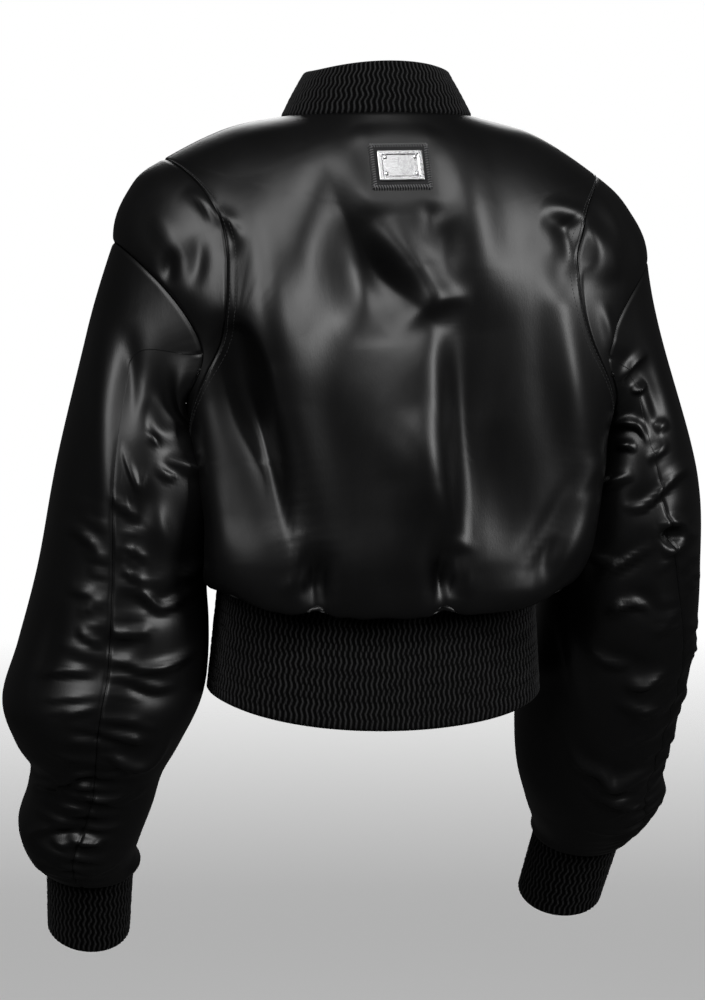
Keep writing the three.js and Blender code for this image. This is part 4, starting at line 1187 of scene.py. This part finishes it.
def knit_piece(name, node, grid, centre, length, ribs):
    """A trim on a smooth grid: the ribs stand out of it, and both its ends are rolled in."""
    rows, columns = grid.shape[:2]
    turns = np.linspace(0, 1, columns)[None, :]
    downs = np.linspace(0, length, rows)[:, None]
    height = rib_pattern(turns, downs, length, ribs)
    rounded = np.exp(-(np.minimum(downs, length - downs) / 1.5) ** 2)
    sign = outward_sign(grid, centre)
    out = grid_normals(grid) * sign
    outer = grid + out * (height * RIB_HEIGHT * (1 - rounded) - 0.8 * rounded)[..., None]
    piece = shell(name, outer, sign, KNIT_WALL, KNIT, 6, grid, height)
    declare(node)
    return piece


def section_knit(name, node, sections, start, length, ribs, rows, per_rib):
    """A collar or band: its sections from zip to zip, with the columns spread evenly in millimetres."""
    end = ZIP["halfGap"] / front_spread({key: v[0] for key, v in sections.items()})
    columns = ribs * per_rib + 1
    turn = np.linspace(-math.pi + end, math.pi - end, columns)[None, :]
    row = np.linspace(start, len(sections["half"]) - 1, rows)[:, None]
    grid = section_point(sample(sections, row + 0 * turn), turn + 0 * row)
    steps = np.linalg.norm(np.diff(grid[0], axis=0), axis=1)
    even = np.concatenate(([0], np.cumsum(steps))) / steps.sum()
    turn = np.interp(np.linspace(0, 1, columns), even, turn[0])[None, :]
    grid = section_point(sample(sections, row + 0 * turn), turn + 0 * row)
    centre = grid.reshape(-1, 3).mean(0)
    knit_piece(name, node, grid, centre, length, ribs)


section_knit("collar_knit", "collar", COLLAR_SECTIONS, -0.12, 46, 100, 32, 6)
section_knit("band_knit", "hem_band", BAND_SECTIONS, -0.03, 105, 172, 40, 5)


def cuff_piece(name, node, arm):
    """A cuff: ellipses from one ring to the next, leant like the sleeve's end, open at its inside."""
    cuff = arm["cuff"]
    ribs, per_rib, rows, length = 50, 6, 34, 76
    columns = ribs * per_rib + 1
    place = np.linspace(0, 1, rows)[:, None]
    angle = np.linspace(-math.pi / 2 + 0.003, 1.5 * math.pi - 0.003, columns)[None, :]
    row = sample(cuff["rings"], place + 0 * angle)
    lean = cuff["lean"] * DEGREE
    grid = np.stack((
        row["x"] + arm["side"] * row["half"] * np.cos(angle),
        row["y"] + row["deep"] * np.sin(angle) * math.cos(lean),
        row["z"] - row["deep"] * np.sin(angle) * math.sin(lean),
    ), -1)
    centre = grid.mean(1, keepdims=True)
    knit_piece(name, node, grid, centre, length, ribs)


for side_name, each_arm in ARMS.items():
    cuff_piece(f"cuff_knit_{side_name}", f"cuff_{side_name}", each_arm)

# %% [markdown]
# ## Zip
# The front is guessed as a plain metal zip, closed up to the collar. The tapes are woven strips,
# the teeth are one metal tooth repeated, and the slider, bail and tab are the solids with their
# edges rounded, as cast metal has them. All lie along one line down the centre front.

# %% Zip line
def front_line(place):
    """The centre front, down the closed fronts and then over the band."""
    on_cloth = torso(np.full_like(place, math.pi), np.minimum(place, BAND_SEAM_ROW))
    band = sample(BAND_SECTIONS, np.clip(place - BAND_SEAM_ROW, 0, 1))
    on_band = section_point(band, np.full_like(place, math.pi))
    return np.where((place > BAND_SEAM_ROW)[..., None], on_band, on_cloth)


def front_out(place):
    """Outward from the zip: square to its line in the plane of the centre front."""
    run = front_line(place + 0.03) - front_line(place - 0.03)
    return unit(np.stack((0 * run[..., 2], run[..., 2], -run[..., 1]), -1))


ZIP_PLACES = np.linspace(0.02, 0.999 + BAND_SEAM_ROW, 260)
ZIP_LINE = front_line(ZIP_PLACES)
ZIP_OUT = front_out(ZIP_PLACES)


def along_line(line, out, spacing, start=0.0):
    """Points at even spacing along a line, with their forward and outward directions.

    Lengths are summed along the line, and points and directions are read off at each even length.
    """
    lengths = np.concatenate(([0], np.cumsum(np.linalg.norm(np.diff(line, axis=0), axis=1))))
    at = np.arange(start, lengths[-1], spacing)
    points = np.stack([np.interp(at, lengths, line[:, k]) for k in range(3)], -1)
    ahead = np.stack([np.interp(at + 0.5, lengths, line[:, k]) for k in range(3)], -1)
    behind = np.stack([np.interp(at - 0.5, lengths, line[:, k]) for k in range(3)], -1)
    outward = unit(np.stack([np.interp(at, lengths, out[:, k]) for k in range(3)], -1))
    return points, unit(ahead - behind + 1e-9), outward


# %% [markdown]
# ## Zip tapes
# A tape is a flat woven strip with a cord along its inner edge, which the teeth are clamped to. It is
# swept down the zip line: a profile across, carried along the line.

# %% Tapes
def zip_tape(side):
    """A strip from the chain to its edge under the front, with a raised cord where the teeth grip."""
    side_name = "left" if side > 0 else "right"
    across = np.linspace(ZIP["parting"], ZIP["tapeHalf"], 15)
    rise = ZIP["cordRise"] * np.exp(-((across - ZIP["cord"]) / 0.8) ** 2) - ZIP["sunk"]
    sideways = np.array([side, 0, 0])
    grid = ZIP_LINE[:, None] + across[None, :, None] * sideways + rise[None, :, None] * ZIP_OUT[:, None]
    sign = outward_sign(grid, grid.mean((0, 1)) - ZIP_OUT.mean(0) * 50)
    piece = shell(f"tape_cloth_{side_name}", grid, sign, ZIP["wall"], TAPE)
    declare(f"zip_tape_{side_name}")


for side in (1, -1):
    zip_tape(side)


# %% [markdown]
# ## Zip teeth
# About two hundred teeth a side are one small shape set again and again, so the shape has only seven
# faces. The two sides are half a pitch apart, as in a closed chain.

# %% Teeth
def repeated(name, shape, faces, points, axes, material):
    """One small shape set at many points, each turned to its own three axes."""
    placed = points[:, None] + np.einsum("nk,mkj->mnj", shape, axes)
    count = len(shape)
    every = [[corner + count * i for corner in face] for i in range(len(points)) for face in faces]
    make_object(name, placed.reshape(-1, 3), every, material, False)


def tooth_shape():
    """A stamped tooth: a block with a rounded nose, and its five side faces and two caps."""
    outline = np.array([(-1.2, -0.45), (0.9, -0.5), (1.35, 0), (0.9, 0.5), (-1.2, 0.45)])
    low = np.column_stack((outline[:, 0], outline[:, 1], np.full(5, -0.35)))
    high = np.column_stack((0.86 * outline[:, 0], 0.8 * outline[:, 1], np.full(5, 0.75)))
    faces = [[4, 3, 2, 1, 0], [5, 6, 7, 8, 9]]
    faces += [[i, (i + 1) % 5, (i + 1) % 5 + 5, i + 5] for i in range(5)]
    return np.concatenate((low, high)), faces


def zip_teeth(side):
    """Teeth at the zip's pitch down one side, noses to the middle."""
    shape, faces = tooth_shape()
    start = 0 if side > 0 else ZIP["pitch"] / 2
    points, down, out = along_line(ZIP_LINE, ZIP_OUT, ZIP["pitch"], start)
    points = points + np.array([side * ZIP["toothCentre"], 0, 0]) + out * ZIP["toothRise"]
    toward = np.broadcast_to([-side, 0.0, 0.0], down.shape)
    axes = np.stack((toward, down * side, out), 1)
    repeated(f"zip_teeth_{'left' if side > 0 else 'right'}", shape, faces, points, axes, ZIP_METAL)


for side in (1, -1):
    zip_teeth(side)


# %% [markdown]
# ## Hardware
# Cast and stamped metal has soft edges that catch light. The solids already have the right forms, so
# their meshes are copied, merged and bevelled, which is better than modelling them a second time.

# %% Rounded hardware
def rounded_copy(name, node, width, material, body="jacket"):
    """A solid's own mesh with its doubles merged and its edges rounded."""
    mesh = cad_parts[node].data.copy()
    mesh.name = name
    merged = bmesh.new()
    merged.from_mesh(mesh)
    bmesh.ops.remove_doubles(merged, verts=merged.verts, dist=1e-6)
    bmesh.ops.dissolve_limit(merged, angle_limit=2 * DEGREE, verts=merged.verts, edges=merged.edges)
    merged.to_mesh(mesh)
    merged.free()
    mesh.materials.clear()
    mesh.materials.append(material)
    piece = bpy.data.objects.new(name, mesh)
    bpy.context.scene.collection.objects.link(piece)
    bevel = piece.modifiers.new("edges", "BEVEL")
    bevel.width = width * MM
    bevel.segments = 3
    bevel.limit_method = "ANGLE"
    bevel.angle_limit = 32 * DEGREE
    bevel.use_clamp_overlap = True
    mesh.polygons.foreach_set("use_smooth", [True] * len(mesh.polygons))
    normals = piece.modifiers.new("face weights", "WEIGHTED_NORMAL")
    normals.keep_sharp = True
    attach(piece, body)
    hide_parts(node)
    print(name, len(mesh.polygons), "faces before its edges are rounded")


SLIDER_EDGE = 0.5
BAIL_EDGE = 0.3
TAB_EDGE = 0.35
rounded_copy("slider_body", "zip_slider", SLIDER_EDGE, ZIP_METAL)
rounded_copy("slider_bail", "zip_bail", BAIL_EDGE, ZIP_METAL)
rounded_copy("pull_tab", "zip_pull_tab", TAB_EDGE, ZIP_METAL, "pull_tab")

# %% [markdown]
# ## Patch, plate and stitches
# Below the collar sits a leather patch, whipped to the cloth all round, and on it a polished plate
# with a raised border, held by four rivets. The plate is blank.

# %% Patch and plate
PATCH_EDGE = 0.35
PLATE_EDGE = 0.22
RIVET_EDGE = 0.08
rounded_copy("patch_piece", "leather_patch", PATCH_EDGE, LEATHER)
rounded_copy("plate_piece", "metal_plate", PLATE_EDGE, SILVER)
for rivet_number in range(1, 5):
    rounded_copy(f"rivet_head_{rivet_number}", f"rivet_{rivet_number}", RIVET_EDGE, SILVER)


# %% [markdown]
# ## Topstitches
# Two rows of thread hold the cap seam down, and one row each front beside the zip. A dashed bump would
# look printed on, so each stitch is a short spindle of thread that dips into the cloth at both ends.

# %% Stitches
def tube_faces(stations, sides, copies):
    """Faces of many closed tubes of the same form, whose points follow each other, ends included."""
    one = np.arange(stations * sides).reshape(stations, sides)
    after = np.roll(one, -1, axis=1)
    faces = np.stack((one[:-1], one[1:], after[1:], after[:-1]), -1).reshape(-1, 4).tolist()
    faces += [one[0].tolist(), one[-1, ::-1].tolist()]
    return [[corner + one.size * i for corner in face] for i in range(copies) for face in faces]


def stitches(name, line, out):
    """Thread in short arches along a line: each is a bent spindle whose ends dip into the cloth.

    Its radius is the thread's times the root of one minus a square along it, and its height falls
    with the fourth power of the distance from its middle.
    """
    length, gap, radius, sink = THREAD_STITCH.values()
    points, forward, outward = along_line(line, out, length + gap, gap)
    stations = np.linspace(-0.5, 0.5, 5)
    turns = np.linspace(0, 2 * math.pi, 7)[:-1]
    thick = radius * np.sqrt(1 - (1.7 * stations) ** 2)
    lift = radius * 0.6 - sink * (2 * stations) ** 4
    side = np.cross(forward, outward)
    ring = np.stack((np.cos(turns), np.sin(turns)), -1)
    centre = (points[:, None] + forward[:, None] * (stations * length)[None, :, None]
              + outward[:, None] * lift[None, :, None])
    grid = (centre[:, :, None]
            + side[:, None, None] * (thick[:, None] * ring[:, 0])[None, :, :, None]
            + outward[:, None, None] * (thick[:, None] * ring[:, 1])[None, :, :, None])
    every = tube_faces(len(stations), len(turns), len(points))
    make_object(name, grid.reshape(-1, 3), every, THREAD)


def line_on_torso(turn, row):
    """Points on the trunk, and directions that point away from its middle."""
    out = normal_of(torso_base, turn, row)
    line = torso(turn, row)
    return line, out * np.sign((out * (line - [0, 0, -200])).sum(-1, keepdims=True))


def cap_stitch_line(arm, offset):
    """A line on the body beside the cap seam, on its back half."""
    angle = np.linspace(0.04, math.pi - 0.35, 400)
    turn, row = seam_place(CAP_SEAM, angle)
    return line_on_torso(arm["side"] * (turn - offset / 150), row)


def front_stitch_line(side, offset):
    """A line down one front, beside its edge at the zip."""
    row = np.linspace(0.25, 9.8, 400)
    turn = side * (math.pi - (ZIP["halfGap"] + offset) / front_spread(sample(TORSO, row)))
    return line_on_torso(turn, row)


for side_name, each_arm in ARMS.items():
    for number, offset in enumerate(CAP_STITCH_ROWS):
        stitches(f"cap_stitches_{side_name}_{number}", *cap_stitch_line(each_arm, offset))
for side_name, side in (("left", 1), ("right", -1)):
    stitches(f"front_stitches_{side_name}", *front_stitch_line(side, FRONT_STITCH_ROW))

# %% [markdown]
# ## Whipped edge
# The patch is sewn on by hand, with thread over its edge in slanting turns. Each turn is a bent
# tube: up through the patch, over its edge and down into the cloth.

# %% Patch stitches
WHIP = {"pitch": 2.1, "slant": 0.35, "radius": 0.42}


def whipped_edge():
    """Slanting thread over the patch's edge, from its face down to the cloth, all the way round.

    A path across the edge, as steps out and heights, is set at even spacing along each side and
    slanted along it. A ring of points at right angles to the path makes it a tube.
    """
    centre, across, up, out = FLAT
    half = np.array([PATCH["width"], PATCH["height"]]) / 2
    corners = np.array([(1, 1), (-1, 1), (-1, -1), (1, -1), (1, 1)]) * half
    spots, ways = [], []
    for a, b in zip(corners[:-1], corners[1:]):
        run = (b - a) / np.linalg.norm(b - a)
        count = int(np.linalg.norm(b - a) / WHIP["pitch"])
        share = (np.arange(count) + 0.5) / count
        spots.append(a + (b - a) * share[:, None])
        away = np.array([run[1], -run[0]])
        ways.append(np.broadcast_to(away + WHIP["slant"] * run, (count, 2)))
    spots = np.concatenate(spots)
    ways = np.concatenate(ways)
    on_patch = np.array([v.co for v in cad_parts["leather_patch"].data.vertices]) / MM
    base = ((on_patch - centre) @ out).max()
    print("patch face", round(float(base), 2), "mm above its frame")
    path = np.array([(-2.6, base - 0.3), (-2.2, base + 0.35), (-0.6, base + 0.45), (0.35, base - 0.2),
                     (0.75, base * 0.45), (0.9, -0.2)])
    turns = np.linspace(0, 2 * math.pi, 6)[:-1]
    flat = spots[:, None] + ways[:, None] * path[None, :, 0, None]
    line = (centre + flat[..., :1] * across + flat[..., 1:] * up + path[None, :, 1, None] * out)
    forward = unit(np.gradient(line, axis=1))
    side = unit(np.cross(forward, out))
    over = np.cross(side, forward)
    grid = (line[:, :, None] + WHIP["radius"] * (np.cos(turns)[None, None, :, None] * side[:, :, None]
            + np.sin(turns)[None, None, :, None] * over[:, :, None]))
    every = tube_faces(len(path), len(turns), len(spots))
    make_object("patch_stitches", grid.reshape(-1, 3), every, PATCH_THREAD)


whipped_edge()

# %% [markdown]
# ## Camera
# The view is from behind, a little from the jacket's left and from above, about three metres
# away. Its focal length is worked out so that one pixel at the neck is 0.83 mm.

# %% Camera
camera_data = bpy.data.cameras.new("camera")
camera_data.sensor_fit = "VERTICAL"
camera_data.sensor_height = SENSOR
camera_data.lens = LENS
camera = bpy.data.objects.new("camera", camera_data)
bpy.context.scene.collection.objects.link(camera)
camera.location = (AIM + TOWARD * VIEW["distance"]) * MM
camera.rotation_euler = Vector(TOWARD).to_track_quat("Z", "Y").to_euler()
bpy.context.scene.camera = camera
print("focal length", round(LENS, 1), "mm")

# %% [markdown]
# ## Floor
# A pale disc that fades out before its edge. Seen by the camera it is nearly white, but it would then
# light the black satin from below, so what the jacket mirrors is darker.

# %% Floor
FLOOR = {
    "height": -1.45, "radius": 9.0, "clear": 2.0,
    "color": (0.97, 0.97, 0.97), "reflected": (0.05, 0.05, 0.05),
}


def floor_disc():
    """A disc whose alpha falls from 1 to 0 between its clear radius and its rim."""
    mesh = bpy.data.meshes.new("floor")
    ring = [(FLOOR["radius"] * math.cos(a), FLOOR["radius"] * math.sin(a), FLOOR["height"])
            for a in np.linspace(0, 2 * math.pi, 97)[:-1]]
    mesh.from_pydata(ring, [], [list(range(96))])
    material, nodes, links, shader = new_material("floor", Roughness=0.9)
    place = nodes.new("ShaderNodeTexCoord")
    length = nodes.new("ShaderNodeVectorMath")
    length.operation = "LENGTH"
    links.new(place.outputs["Object"], length.inputs[0])
    fade = add_node(nodes, "ShaderNodeMapRange", From_Min=FLOOR["clear"], From_Max=FLOOR["radius"],
                    To_Min=1, To_Max=0)
    links.new(length.outputs["Value"], fade.inputs["Value"])
    links.new(fade.outputs["Result"], shader.inputs["Alpha"])
    path = nodes.new("ShaderNodeLightPath")
    tone = nodes.new("ShaderNodeMix")
    tone.data_type = "RGBA"
    tone.inputs["A"].default_value = (*FLOOR["reflected"], 1)
    tone.inputs["B"].default_value = (*FLOOR["color"], 1)
    links.new(path.outputs["Is Camera Ray"], tone.inputs["Factor"])
    links.new(tone.outputs["Result"], shader.inputs["Base Color"])
    mesh.materials.append(material)
    floor = bpy.data.objects.new("floor", mesh)
    bpy.context.scene.collection.objects.link(floor)


floor_disc()

# %% [markdown]
# ## Light
# Two tall soft lamps behind, from the left and right, draw the long streaks on the back. A third from
# above lights the shoulders, and a weaker one the front. The white surround lights the jacket only
# faintly, because satin mirrors whatever is around it.

# %% Light
SURROUND = {"lights": 0.03, "shows": 1.0}
LIGHTS = [
    ["key_left", (2.2, 2.3, 1.5), 1.3, 2.2, 44],
    ["key_right", (-2.3, 2.2, 1.0), 0.8, 1.8, 42],
    ["top", (0.4, 2.3, 2.2), 1.8, 1.2, 34],
    ["front_fill", (-0.6, -3.2, 1.2), 1.6, 1.6, 26],
]
for light_name, where, width, height, power in LIGHTS:
    light = bpy.data.lights.new(light_name, "AREA")
    light.shape = "RECTANGLE"
    light.size = width
    light.size_y = height
    light.energy = power
    lamp = bpy.data.objects.new(light_name, light)
    lamp.location = where
    lamp.rotation_euler = (Vector(where) - Vector((0, 0, -0.3))).to_track_quat("Z", "Y").to_euler()
    bpy.context.scene.collection.objects.link(lamp)
print("lamps", len(LIGHTS))


def studio_world():
    """A white surround behind the jacket, which lights it only faintly."""
    world = bpy.data.worlds.new("studio")
    bpy.context.scene.world = world
    world.use_nodes = True
    nodes = world.node_tree.nodes
    links = world.node_tree.links
    surround = nodes["Background"]
    surround.inputs["Color"].default_value = (1, 1, 1, 1)
    surround.inputs["Strength"].default_value = SURROUND["lights"]
    behind = nodes.new("ShaderNodeBackground")
    behind.inputs["Color"].default_value = (1, 1, 1, 1)
    behind.inputs["Strength"].default_value = SURROUND["shows"]
    path = nodes.new("ShaderNodeLightPath")
    either = nodes.new("ShaderNodeMixShader")
    links.new(path.outputs["Is Camera Ray"], either.inputs["Fac"])
    links.new(surround.outputs["Background"], either.inputs[1])
    links.new(behind.outputs["Background"], either.inputs[2])
    links.new(either.outputs["Shader"], nodes["World Output"].inputs["Surface"])


studio_world()
bpy.context.scene.view_settings.view_transform = "Standard"
